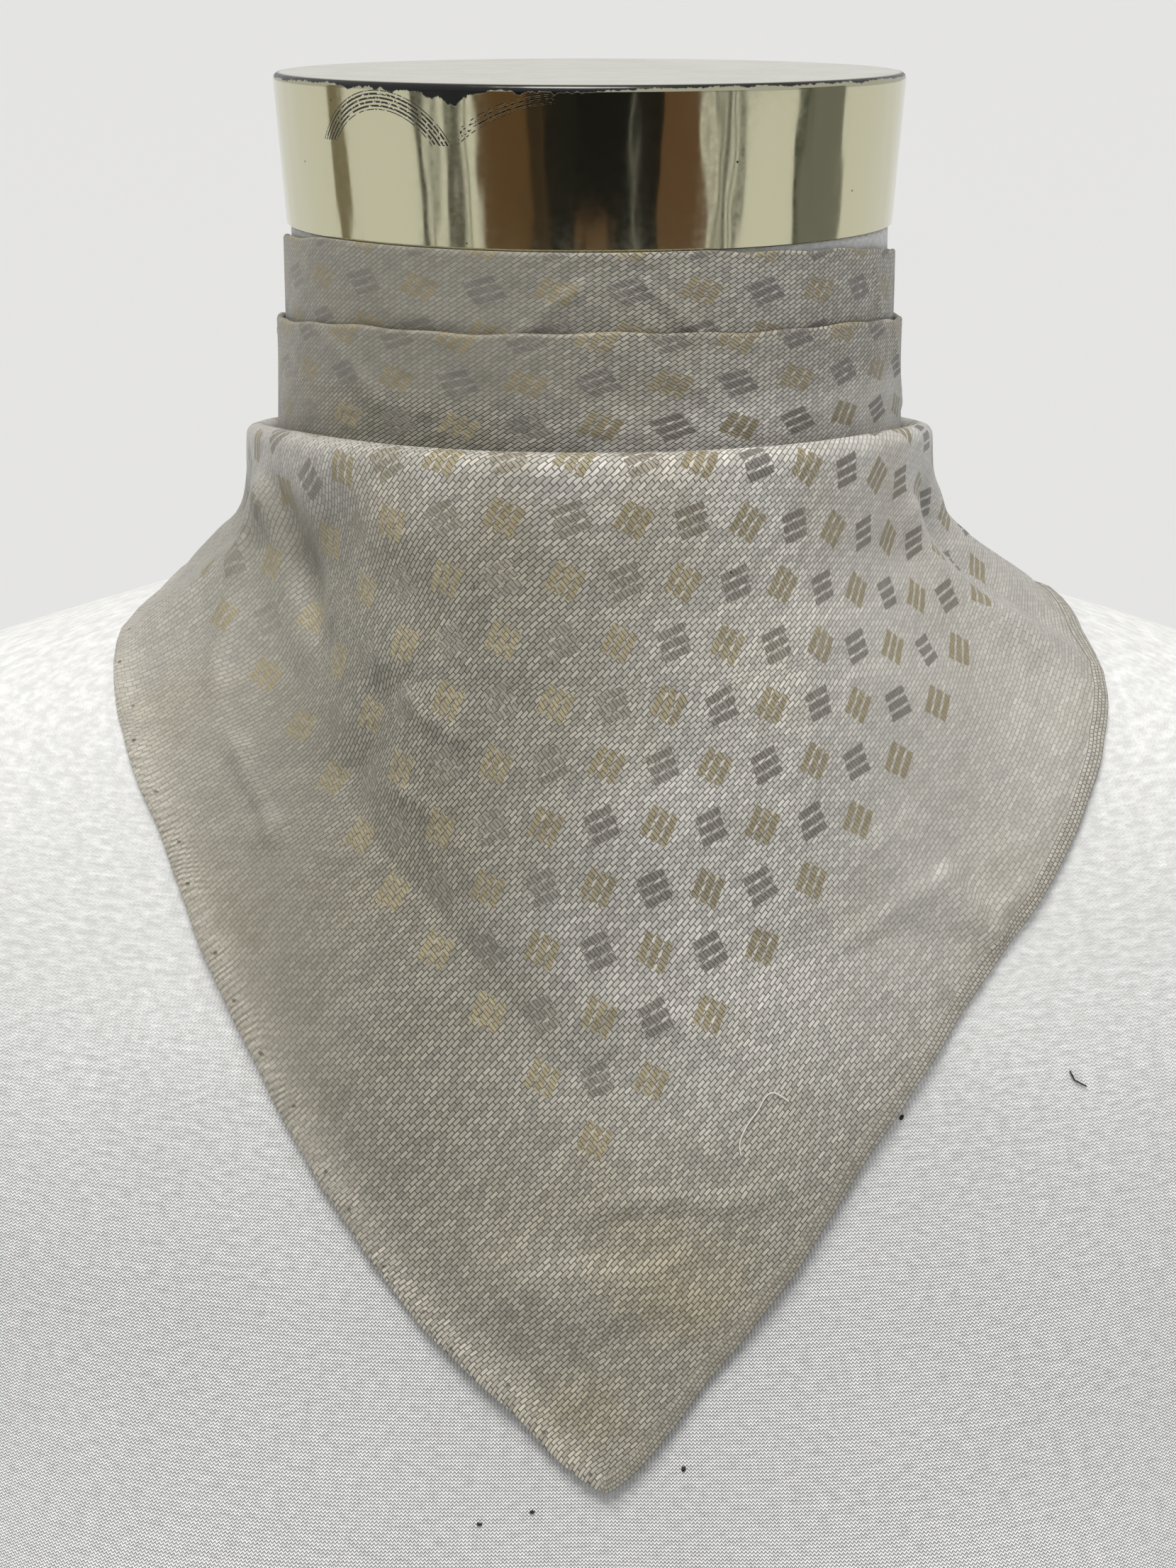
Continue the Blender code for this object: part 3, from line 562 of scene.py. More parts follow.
def cutMap(azimuths, places):  # where each point of the drape lies on the flat cloth, in its motifs' lattice
    coarseAzimuths = azimuthsOf(cut["columns"], cut["sideColumns"])
    returnRows, foldRows = cut["returnRows"], cut["foldRows"]
    shares = np.arange(1, cut["rows"] + 1) / cut["rows"]
    coarse = []
    for azimuth in coarseAzimuths:
        hang = hangAt(azimuth)
        downs = (hang[6] - foldBend(hang)) * shares
        coarse.append(drapeColumn(azimuth, downs, returnRows, foldRows, creased=False))
    coarse = np.array(coarse)
    flat = unroll(coarse)
    run = lengthsDown(coarse)
    foldEnd = returnRows + foldRows
    run = run - run[:, foldEnd:foldEnd + 1]
    coarsePlaces = placesDown(returnRows, foldRows, shares)
    # the charted motifs fix the lattice: first one even stretch, then what each is still off by
    charted = []
    for _, _, azimuth, down in cut["motifs"]:
        columnAt = np.interp(azimuth, coarseAzimuths, np.arange(len(coarseAzimuths)))
        rowAt = np.interp(down, tableAt(run, columnAt)[0], np.arange(run.shape[1]))
        column = np.array([tableAt(flat[:, j], columnAt)[0] for j in range(flat.shape[1])])
        charted.append(tableAt(column, rowAt)[0])
    charted = np.array(charted)
    numbers = cut["motifs"][:, :2]
    even = np.linalg.lstsq(np.column_stack([charted, np.ones(len(charted))]), numbers, rcond=None)[0]
    off = numbers - (charted @ even[:2] + even[2])
    away = ((flat[:, :, None] - charted) ** 2).sum(-1)
    share = 1 / (away + cut["spread"] ** 2) ** 2
    lattice = flat @ even[:2] + even[2] + (share @ off) / share.sum(-1, keepdims=True)
    columnFound = np.interp(azimuths, coarseAzimuths, np.arange(len(coarseAzimuths)))
    wide = np.stack([tableAt(lattice[:, j], columnFound) for j in range(lattice.shape[1])], axis=1)
    rowFound = np.stack([np.interp(row, coarsePlaces, np.arange(len(coarsePlaces))) for row in places])
    return np.stack([tableAt(wide[i], rowFound[i]) for i in range(len(wide))], axis=0) * cut["pitch"]


# Painted sheen and shade: the satin's floats shine to the right and go dull to the left, and this is painted
# into its colour by place, with painted shade at the tip and on the pleats under the cap

sheen = {
    "dull": 0.05,
    "gain": 0.73,
    "edge": -0.013,           # x between the dull and the bright side, at leanFoot; it leans right going up
    "lean": 0.2,
    "leanFoot": 0.28,
    "leanTop": 0.405,
    "wander": [(0.006, 90, 0, 1), (0.004, 210, 60, 0)],     # size, radians to the metre up and across, shift
    # stretches of x or z over which something sets in, from the first end to the second
    "bright": (-0.031, 0.025),     # of the distance to the right of the edge
    # painted shade at the tip and a little on the far right below the fold; painted light on the far left
    "tip": (0.342, 0.277),
    "tipPaintedShade": 0.8,
    "farRight": (0.025, 0.055),
    "belowFold": (0.405, 0.385),
    "rightPaintedShade": 0.16,
    "farLeft": (-0.050, -0.090),
    "leftPaintedLight": 0.42,
    "pleats": (0.428, 0.434),
    "pleatLit": (0.08, 0.26),      # painted shade on the pleats, under the cap: least and gain
    "pleatMotifPaintedSheen": (0.45, 0.7),
    # the weave shows crisp in front and soft at the sides
    "softRight": (0.030, 0.060),
    "softUp": (0.300, 0.350),
    "softLeft": (-0.030, -0.060),
    "softPleats": (0.010, -0.020),
    "soft": 0.62,
}


def clothMarks(points, fromHem, alongHem, banded, stain):  # what the cloth's material reads at each point
    x, z = points[:, 0], points[:, 2]
    wander = sum(size * np.sin(z * up + x * across + shift) for size, up, across, shift in sheen["wander"])
    # painted sheen: brighter to the right of a leaning, wandering edge, duller to its left
    right = x - sheen["lean"] * (np.minimum(z, sheen["leanTop"]) - sheen["leanFoot"]) - sheen["edge"] + wander
    paintedSheen = sheen["dull"] + sheen["gain"] * over(right, sheen["bright"])
    # painted shade at the tip, and a little on the far right below the fold
    paintedSheen = paintedSheen * (1 - sheen["tipPaintedShade"] * over(z, sheen["tip"]))
    paintedSheen = paintedSheen * (1 - sheen["rightPaintedShade"] * over(x, sheen["farRight"]) * over(z, sheen["belowFold"]))
    pleated = over(z, sheen["pleats"])
    sides = np.maximum(over(x, sheen["softRight"]) * over(z, sheen["softUp"]), over(x, sheen["softLeft"]))
    crisp = 1 - sheen["soft"] * np.maximum(sides * (1 - pleated), pleated * over(x, sheen["softPleats"]))
    # painted sheen on the motifs: how deep they show
    least, gain = sheen["pleatMotifPaintedSheen"]
    motifPaintedSheen = paintedSheen * (1 - pleated) + (least + gain * paintedSheen) * pleated    # how deep the motifs are
    # painted shade on the pleats, under the cap
    least, gain = sheen["pleatLit"]
    paintedSheen = paintedSheen * (1 - pleated) + (least + gain * paintedSheen) * pleated
    # painted light: the far left is painted brighter
    paintedSheen = paintedSheen + sheen["leftPaintedLight"] * over(x, sheen["farLeft"]) * (1 - paintedSheen)
    return {"paintedSheen": paintedSheen, "motifPaintedSheen": motifPaintedSheen, "crisp": crisp, "fromHem": fromHem * 1000,
            "alongHem": alongHem * 1000, "banded": banded, "stain": stain}


def makeDrape():
    azimuths = azimuthsOf(drape["frontColumns"], drape["backColumns"])
    hems, slant = [], []
    for azimuth in azimuths:
        hang = hangAt(azimuth)
        downs = np.array([0.97, 1.0]) * (hang[6] - foldBend(hang))
        column = drapeColumn(azimuth, downs, 1, 2, creased=False)
        hems.append(column[-1])
        slant.append(column[-1] - column[-2])
    hemStep = np.diff(np.array(hems), axis=0)
    alongHem = np.concatenate([[0], np.cumsum(np.linalg.norm(hemStep, axis=1))])
    middle = int(np.argmin(np.abs(azimuths - drape["tipAzimuth"])))
    alongHem = alongHem - alongHem[middle]
    beside = np.empty_like(np.array(hems))
    beside[:middle + 1] = np.concatenate([hemStep[:middle], hemStep[middle - 1:middle]])
    beside[middle + 1:] = hemStep[middle:]
    cosine = (beside * slant).sum(1) / (np.linalg.norm(beside, axis=1) * np.linalg.norm(slant, axis=1))
    sine = np.sqrt(1 - cosine ** 2)
    foldEnd = drape["returnRows"] + drape["foldRows"]
    grid, places, fromHem, along = [], [], [], []
    for i, azimuth in enumerate(azimuths):
        hang = hangAt(azimuth)
        wave = sum(high * math.sin(alongHem[i] * turns + shift) for high, turns, shift in drape["hemWaves"])
        length = hang[6] - foldBend(hang) + wave * min(1, abs(alongHem[i]) / drape["waveStart"]) / sine[i]
        last = length - drape["hemRows"][0] / sine[i]
        downs = np.concatenate([last * np.arange(1, drape["rows"] + 1) / drape["rows"],
                                length - drape["hemRows"][1:] / sine[i]])
        grid.append(drapeColumn(azimuth, downs, drape["returnRows"], drape["foldRows"]))
        places.append(placesDown(drape["returnRows"], drape["foldRows"], downs / length))
        before = np.zeros(foldEnd + 1)
        near = np.concatenate([before + length, length - downs]) * sine[i]
        fromHem.append(near)
        along.append(alongHem[i] - near * cosine[i] / sine[i])
    grid, fromHem, along = (np.array(x) for x in (grid, fromHem, along))
    run = lengthsDown(grid)
    run = np.maximum(run - run[:, foldEnd:foldEnd + 1], 0)
    uv = cutMap(azimuths, np.array(places))
    right = np.broadcast_to((azimuths >= drape["tipAzimuth"])[:, None], fromHem.shape).astype(float)
    stain = np.zeros_like(fromHem)
    for azimuth, down, size, strength in drape["stains"]:
        away = ((azimuths[:, None] - azimuth) * drape["arc"]) ** 2 + (run - down) ** 2
        stain = stain + strength * np.exp(-away / size ** 2)
    marks = clothMarks(grid.reshape(-1, 3), fromHem.ravel(), along.ravel(), right.ravel(), stain.ravel())
    # painted highlight on the satin over the cowl's fold
    foldPaintedHighlight = 1 - softStep(run.ravel() / drape["glintLength"])
    least, more = drape["glint"]
    marks["paintedSheen"] = marks["paintedSheen"] + (least + more * marks["paintedSheen"]) * foldPaintedHighlight * (1 - marks["paintedSheen"])
    piece = gridPiece("frontDrape", grid, uv, marks)
    hem = fromHem.ravel()
    band = softStep((drape["bandWidth"] - hem) / drape["bandStep"])
    roll = softStep((drape["rollWidth"] - hem) / drape["rollStep"])
    edge = drape["edgeShare"] + (1 - drape["edgeShare"]) * softStep(hem / drape["edgeStep"])
    share = np.where(right.ravel() > 0.5, band, drape["rollShare"] * roll) * edge
    thick = piece.vertex_groups.new(name="hem")
    for i in np.nonzero(share > 0.001)[0]:
        thick.add([int(i)], float(share[i]), "REPLACE")
    wall = piece.modifiers.new("wall", "SOLIDIFY")    # thicker along the hem
    wall.thickness = drape["hemThickness"]
    wall.thickness_vertex_group = drape["thickness"] / drape["hemThickness"]
    wall.vertex_group = "hem"
    wall.offset = drape["outShare"]
    applyModifiers(piece)
    print("flat corner: %.3f m2" % (sum(p.area for p in piece.data.polygons) / 2))
    return piece


# The pleats round the neck

pleats = {
    "upper": np.array([  # azimuth, top, foot, inner off, wall
        (0, 0.4580, 0.4320, 0.0013, 0.0012),
        (45, 0.4563, 0.4310, 0.0010, 0.0011),
        (90, 0.4522, 0.4285, 0.0005, 0.0010),
        (135, 0.4430, 0.4200, 0.0005, 0.0011),
        (172, 0.4340, 0.4150, 0.0005, 0.0011),
    ]),
    "upperLean": 0.0013,
    "upperMotifs": (6.7, -0.0008, 12.2, 0.0077),     # azimuth and depth of the first motif, then the pitches
    "upperCreases": [(0.0011, 0.0006, (-13.0, 0.0152), (-7.5, 0.0098), (-0.6, 0.0052)),
                     (0.0011, 0.0006, (8.6, 0.0050), (13.5, 0.0092), (20.0, 0.0150)),
                     (0.0040, -0.0003, (0.0, 0.0020), (8.0, 0.0024)),
                     (0.0012, 0.0005, (-48.0, 0.0020), (-43.0, 0.0110)),
                     (0.0014, 0.0005, (62.0, 0.0030), (66.0, 0.0130)),
                     (0.0014, 0.0005, (112.0, 0.0020), (118.0, 0.0130)),
                     (0.0014, 0.0005, (-115.0, 0.0020), (-122.0, 0.0130))],
    "lower": np.array([
        (0, 0.4432, 0.4100, 0.0029, 0.0014),
        (45, 0.4420, 0.4090, 0.0026, 0.0014),
        (90, 0.4382, 0.4060, 0.0019, 0.0013),
        (135, 0.4320, 0.4030, 0.0020, 0.0012),
        (172, 0.4250, 0.4030, 0.0020, 0.0012),
    ]),
    "lowerLean": 0.0,
    "lowerMotifs": (1.4, 0.0011, 11.7, 0.0077),
    "lowerCreases": [(0.0016, 0.0005, (-50.0, 0.0015), (-38.0, 0.0120)),
                     (0.0018, 0.0004, (10.0, 0.0030), (26.0, 0.0150)),
                     (0.0020, -0.0004, (-24.0, 0.0040), (-12.0, 0.0160)),
                     (0.0016, 0.0005, (70.0, 0.0020), (78.0, 0.0160)),
                     (0.0016, 0.0005, (-88.0, 0.0020), (-97.0, 0.0150)),
                     (0.0016, 0.0005, (128.0, 0.0020), (136.0, 0.0150))],
    "columns": 300,
    "rows": 40,
    "foldRows": 8,
    "thickness": 0.00042,
    "arc": 0.062 * math.radians(1),
    "settle": 0.003,       # the creases grow from nothing over this length below the fold
    "deepest": -0.0002,
    "waves": [(0.00025, 0.13, 1), (0.00015, 0.41, 0)],     # of the top edge, as the drape's, but to a degree
    "motifLean": 40,       # degrees that the columns of motifs turn for a metre of cloth down, from leanAt
    "leanAt": 0.008,
    "firstRow": 40,        # of the motifs' lattice, clear of the drape's
    "soiled": 0.18,        # along the top edge, over a share of the height
    "soiledShare": 0.10,
    "far": 0.04,           # metres from a hem where cloth has none
}


def makePleat(name, key):
    azimuths = np.linspace(-drape["endAzimuth"], drape["endAzimuth"], pleats["columns"] + 1)
    firstAzimuth, firstDown, pitchAround, pitchDown = pleats[key + "Motifs"]
    grid, uv = [], []
    for azimuth in azimuths:
        outline = outlineOf(azimuth)
        _, top, foot, innerOff, wall = tableFor(pleats[key], abs(azimuth))[0]
        lower = pleats[key + "Lean"] * math.sin(math.radians(azimuth))
        wave = sum(height * math.sin(azimuth * turns + shift) for height, turns, shift in pleats["waves"])
        bend = (wall - pleats["thickness"]) / 2
        inner = innerOff + pleats["thickness"] / 2
        topAt = downTo(outline, top - wall / 2 - lower + wave)
        footAt = downTo(outline, foot - lower)
        turn = math.pi * np.arange(pleats["foldRows"] + 1) / pleats["foldRows"]
        legs = (footAt - topAt) * np.arange(1, pleats["rows"] + 1) / pleats["rows"]
        distances = np.concatenate([topAt + legs[::-1], topAt - bend * np.sin(turn), topAt + legs])
        lift = creaseLift(pleats[key + "Creases"], pleats["arc"], azimuth, legs)
        lift = np.maximum(lift, pleats["deepest"])
        offsets = np.concatenate([np.full(len(legs), inner), inner + bend * (1 - np.cos(turn)),
                                  inner + 2 * bend + lift * softStep(legs / pleats["settle"])])
        column = moveOut(outline, distances, offsets)
        grid.append(column)
        lengths = lengthsDown(column)
        below = lengths - lengths[pleats["rows"] + pleats["foldRows"] // 2]
        leaning = (azimuth - firstAzimuth - pleats["motifLean"] * (below - pleats["leanAt"])) / pitchAround
        rising = pleats["firstRow"] - (below - firstDown) / pitchDown
        uv.append(np.stack([leaning, rising], axis=1) * cut["pitch"])
    grid, uv = np.array(grid), np.array(uv)
    points = grid.reshape(-1, 3)
    far = np.full(len(points), pleats["far"])
    down = np.abs(np.arange(grid.shape[1]) - pleats["rows"] - pleats["foldRows"] / 2) / pleats["rows"]
    stain = np.tile(pleats["soiled"] * np.exp(-(down / pleats["soiledShare"]) ** 2), len(grid))
    marks = clothMarks(points, far, far * 0, far * 0, stain)
    piece = gridPiece(name, grid, uv, marks)
    thicken(piece, pleats["thickness"])
    return piece


# The knot at the nape and the two short ends below it

knot = {
    "halfWidth": 0.0220,
    "halfHeight": 0.0140,
    "depth": 0.0140,
    "innerShare": 0.2,
    "height": 0.4150,
    "seat": 0.0071,
    "wrapEdge": 0.46,
    "wrapSlant": 0.35,
    "groove": 0.0028,
    "grooveWidth": 0.13,
    "pinch": 0.16,
    "gathers": 0.0009,      # how deep the small folds are that run into the strand over the middle
    "sideTurns": (11, 3),   # of those folds, on the sides and on the strand: across them, and their slant
    "overTurns": (17, 1.5),
    "overShare": 0.7,
    "gatherSink": 0.6,
    "gatherFade": 0.7,      # how fast they die out towards the neck
    "besideStep": 6,        # how sharply the sides and the strand meet, in shape and in cloth
    "strandStep": 12,
    "sideMap": (26, 17, 3),       # of the sides, which run along the neck: millimetres across, up, shift
    "overMap": (24, 20, 7),       # of the strand over the middle, which runs across it
    "firstPlace": 400,            # on the motifs' lattice
    "soiled": 0.12,
}


def makeKnot():
    bpy.ops.mesh.primitive_uv_sphere_add(segments=128, ring_count=72, radius=1)
    piece = bpy.context.object
    piece.name = "knotCloth"
    mesh = piece.data
    across, away, up = placesOf(mesh).T
    outline = outlineOf(180.0)
    height = knot["height"] + up * (1 - knot["pinch"] * softStep(2 * np.abs(across) - knot["wrapEdge"])) \
        * knot["halfHeight"]
    seat = np.interp(-height, -outline["height"], outline["radius"]) + knot["seat"]
    crossing = across + knot["wrapSlant"] * up
    beside = softStep((np.abs(crossing) - knot["wrapEdge"]) * knot["besideStep"])
    turns, slant = knot["sideTurns"]
    gathers = np.sin(up * turns + across * slant) * beside
    turns, slant = knot["overTurns"]
    gathers = gathers + np.sin(crossing * turns + up * slant) * (1 - beside) * knot["overShare"]
    groove = np.exp(-((np.abs(crossing) - knot["wrapEdge"]) / knot["grooveWidth"]) ** 2)
    outer = knot["depth"] * (knot["innerShare"] + (1 - knot["innerShare"]) * away)
    outer = outer - knot["groove"] * groove * away
    fade = np.clip(away, 0, 1) ** knot["gatherFade"]
    outer = outer + knot["gathers"] * (gathers - knot["gatherSink"]) * fade
    deep = np.where(away < 0, knot["depth"] * knot["innerShare"] * (1 + away), outer)
    angle = math.pi - across * knot["halfWidth"] / seat
    points = np.stack([(seat + deep) * np.sin(angle), -(seat + deep) * np.cos(angle), height], axis=1)
    mesh.vertices.foreach_set("co", points.ravel())
    strand = softStep((knot["wrapEdge"] - np.abs(crossing)) * knot["strandStep"])
    sideWide, sideTall, sideShift = knot["sideMap"]
    overWide, overTall, overShift = knot["overMap"]
    u = across * sideWide * (1 - strand) + (up * overTall + overShift) * strand
    v = knot["firstPlace"] + (up * sideTall + sideShift) * (1 - strand) + across * overWide * strand
    while mesh.uv_layers:
        mesh.uv_layers.remove(mesh.uv_layers[0])
    giveMap(mesh, np.stack([u, v], axis=1)[cornersOf(mesh)])
    far = np.full(len(points), pleats["far"])
    giveMarks(mesh, clothMarks(points, far, far * 0, far * 0, far * 0 + knot["soiled"]))
    mesh.shade_smooth()
    outwards(piece)
    return piece


tails = {
    "sections": np.array([  # share of the length, half width, off, crown
        (0.00, 0.0050, 0.0102, 0.0020),
        (0.15, 0.0075, 0.0093, 0.0028),
        (0.35, 0.0110, 0.0062, 0.0028),
        (0.55, 0.0140, 0.0034, 0.0024),
        (0.75, 0.0125, 0.0026, 0.0018),
        (0.90, 0.0060, 0.0022, 0.0010),
        (1.00, 0.0008, 0.0020, 0.0004),
    ]),
    "top": 0.3985,
    "start": 174.0,
    "leftLength": 0.082,
    "rightLength": 0.070,
    "leftEnd": -163.0,
    "rightEnd": 166.0,
    "rows": 110,
    "columns": 40,
    "thickness": 0.0005,
    "gather": 0.0005,        # of the folds that run out of the knot
    "gatherTurns": 9,
    "hemFrom": 0.5,          # share of the length from where the edges show as hems
    "soiled": 0.1,
    "firstPlace": -58,       # on the motifs' lattice
}


def makeTail(name, side, length, endAzimuth):
    start = side * tails["start"]
    shares = np.linspace(0, 1, tails["rows"] + 1)
    grid = np.empty((tails["columns"] + 1, len(shares), 3))
    uv = np.empty((tails["columns"] + 1, len(shares), 2))
    hem = np.empty(grid.shape[:2])
    for j, share in enumerate(shares):
        _, halfWidth, off, crown = tableFor(tails["sections"], share)[0]
        middle = start + (endAzimuth - start) * share
        outline = outlineOf(middle)
        radius = np.hypot(*moveOut(outline, downTo(outline, tails["top"]) + share * length, off)[0, :2])
        for i in range(tails["columns"] + 1):
            across = 2 * i / tails["columns"] - 1
            beside = outlineOf(middle + math.degrees(across * halfWidth / radius))
            down = downTo(beside, tails["top"]) + share * length
            pleated = tails["gather"] * math.cos(across * tails["gatherTurns"] + side) * (1 - share) ** 2
            grid[i, j] = moveOut(beside, down, off + crown * (1 - across ** 2) + pleated)[0]
            uv[i, j] = (across * halfWidth * 1100, (1 - share) * length * 900 + tails["firstPlace"])
            hem[i, j] = max(0.0, (1 - abs(across)) * halfWidth * 0.9)
    near = np.where(shares > tails["hemFrom"], hem, pleats["far"]).ravel()
    along = np.broadcast_to(shares * length, hem.shape).ravel()
    marks = clothMarks(grid.reshape(-1, 3), near, along, 0 * near, 0 * near + tails["soiled"])
    piece = gridPiece(name, grid, uv, marks)
    thicken(piece, tails["thickness"])
    return piece


# The plated neck cap

cap = {
    "top": 0.485,
    "depth": 0.028,
    "topRadius": 0.061,
    "footRadius": 0.0593,
    "rim": 0.0014,
    "segments": 192,
}


def makeCap():
    bpy.ops.mesh.primitive_cylinder_add(vertices=cap["segments"], radius=cap["topRadius"], depth=cap["depth"],
                                        location=(0, 0, cap["top"] - cap["depth"] / 2), end_fill_type="NGON")
    piece = bpy.context.object
    piece.name = "platedCap"
    bpy.ops.object.transform_apply(location=True, rotation=False, scale=False)
    mesh = piece.data
    foot = cap["top"] - cap["depth"]
    for vertex in mesh.vertices:
        if vertex.co.z < foot + 0.001:
            vertex.co.xy *= cap["footRadius"] / cap["topRadius"]
    bpy.ops.object.mode_set(mode="EDIT")
    bpy.ops.mesh.select_mode(type="EDGE")
    bpy.ops.mesh.select_all(action="DESELECT")
    bpy.ops.object.mode_set(mode="OBJECT")
    for edge in mesh.edges:
        edge.select = all(mesh.vertices[v].co.z > cap["top"] - 0.0001 for v in edge.vertices)
    bpy.ops.object.mode_set(mode="EDIT")
    bpy.ops.mesh.bevel(offset=cap["rim"], segments=5, affect="EDGES")
    bpy.ops.mesh.select_mode(type="FACE")
    bpy.ops.mesh.select_all(action="DESELECT")
    bpy.ops.object.mode_set(mode="OBJECT")
    for polygon in mesh.polygons:
        polygon.select = len(polygon.vertices) > 4
    bpy.ops.object.mode_set(mode="EDIT")
    bpy.ops.mesh.inset(thickness=0.0006)
    bpy.ops.object.mode_set(mode="OBJECT")
    # its map, for the scratches and the worn rim: round from the front, and up from the top
    while mesh.uv_layers:
        mesh.uv_layers.remove(mesh.uv_layers[0])
    spots = placesOf(mesh)
    around = aroundJoined(mesh, np.degrees(np.arctan2(spots[:, 0], -spots[:, 1])))
    up = spots[cornersOf(mesh), 2] - cap["top"]
    giveMap(mesh, np.stack([np.radians(around) * cap["topRadius"], up], axis=1) * 1000)
    mesh.shade_smooth()
    bpy.ops.object.shade_smooth_by_angle(angle=math.radians(40))
    return piece


# A thread end that lies loose on the drape

looseThread = {
    # azimuth, length of cloth below the fold
    "places": [(15.9, 0.1222), (15.6, 0.1205), (16.6, 0.1170), (18.0, 0.1144), (18.7, 0.1124), (19.5, 0.1112),
               (20.3, 0.1118), (21.2, 0.1133)],
    "off": 0.0006,         # above the middle of the cloth
    "radius": 0.00013,
}


def makeThread():
    route = []
    for azimuth, run in looseThread["places"]:
        spot, under = onDrape(azimuth, run)
        route.append(spot + (spot - under) / np.linalg.norm(spot - under) * looseThread["off"])
    curve = bpy.data.curves.new("looseThread", "CURVE")
    curve.dimensions = "3D"
    curve.bevel_depth = looseThread["radius"]
    curve.bevel_resolution = 2
    line = curve.splines.new("NURBS")
    line.points.add(len(route) - 1)
    for point, place in zip(line.points, route):
        point.co = (*place, 1)
    line.use_endpoint_u = True
    line.order_u = 3
    holder = bpy.data.objects.new("looseThread", curve)
    bpy.context.collection.objects.link(holder)
    bpy.ops.object.select_all(action="DESELECT")
    holder.select_set(True)
    bpy.context.view_layer.objects.active = holder
    bpy.ops.object.convert(target="MESH")
    piece = bpy.context.object
    piece.data.shade_smooth()
    return piece


# Specks of dirt and short dark fibres on the cloth and the cover

specks = {
    "onCloth": [(-20.1, 0.0412), (18.9, 0.0172)],     # azimuth, length of cloth below the fold
    "onCover": [(-9.8, 0.2365), (8.6, 0.2460), (-5.2, 0.2385), (32.1, 0.3056)],     # azimuth, height
    "fibres": [((46.9, 0.3112), (47.1, 0.3094), (47.9, 0.3081)), ((-31.0, 0.2100), (-30.2, 0.2080))],
    "size": (0.000546, 0.000294, 0.00042),
    "turn": (0.9, 1.7, 0.4),      # each lies turned by so much more than the last; the last angle is fixed
    "off": 0.0001,
    "fibreRadius": 0.00014,
    "fibreOff": 0.0003,
}


def makeSpecks():
    spots = [onDrape(azimuth, run)[0] for azimuth, run in specks["onCloth"]]
    for azimuth, height in specks["onCover"]:
        outline = outlineOf(azimuth)
        spots.append(moveOut(outline, downTo(outline, height), specks["off"])[0])
    bits = []
    for number, spot in enumerate(spots):
        bpy.ops.mesh.primitive_ico_sphere_add(subdivisions=2, radius=1, location=spot)
        bit = bpy.context.object
        first, second, third = specks["turn"]
        bit.rotation_euler = (number * first, number * second, third)
        bit.scale = specks["size"]
        bits.append(bit)
    for route in specks["fibres"]:
        outlines = [(outlineOf(azimuth), height) for azimuth, height in route]
        ends = [moveOut(outline, downTo(outline, height), specks["fibreOff"])[0]
                for outline, height in outlines]
        for one, other in zip(ends, ends[1:]):
            along = Vector(other - one)
            bpy.ops.mesh.primitive_cylinder_add(vertices=8, radius=specks["fibreRadius"], depth=along.length,
                                                location=(one + other) / 2)
            bit = bpy.context.object
            bit.rotation_euler = along.to_track_quat("Z", "Y").to_euler()
            bits.append(bit)
    bpy.ops.object.select_all(action="DESELECT")
    for bit in bits:
        bit.select_set(True)
    bpy.context.view_layer.objects.active = bits[0]
    bpy.ops.object.join()
    bpy.ops.object.transform_apply(location=True, rotation=True, scale=True)
    piece = bpy.context.object
    piece.name = "specks"
    piece.data.shade_smooth()
    return piece


# Silk jacquard: a warp satin ground that shines, with motifs where the weft floats and the light goes duller;
# that shine is painted into its colour

silk = {
    # each colour comes as a painted-sheen copy and a painted-shade copy
    "groundLit": "#D8D4CD",
    "groundPaintedShade": "#989486",
    "tanLit": "#9A9077",
    "tanPaintedShade": "#A1977A",
    "greyLit": "#7D7974",
    "greyPaintedShade": "#928E82",
    "stain": "#A99A72",
    # the left rolled hem, painted paler as painted highlight where the roll catches the light
    "hem": "#E0D8C8",
    "band": "#A19C90",
    "stitch": "#5E574B",
    "floatLength": 1.65,     # mm; as coarse as the floats and the gaps between them read from a step away
    "threadPitch": 0.76,
    "tanAngle": 65.5,
    "greyAngle": 24.5,
    "barPitch": 1.9,
    "barHalf": 2.55,
    "roughness": 0.55,
}


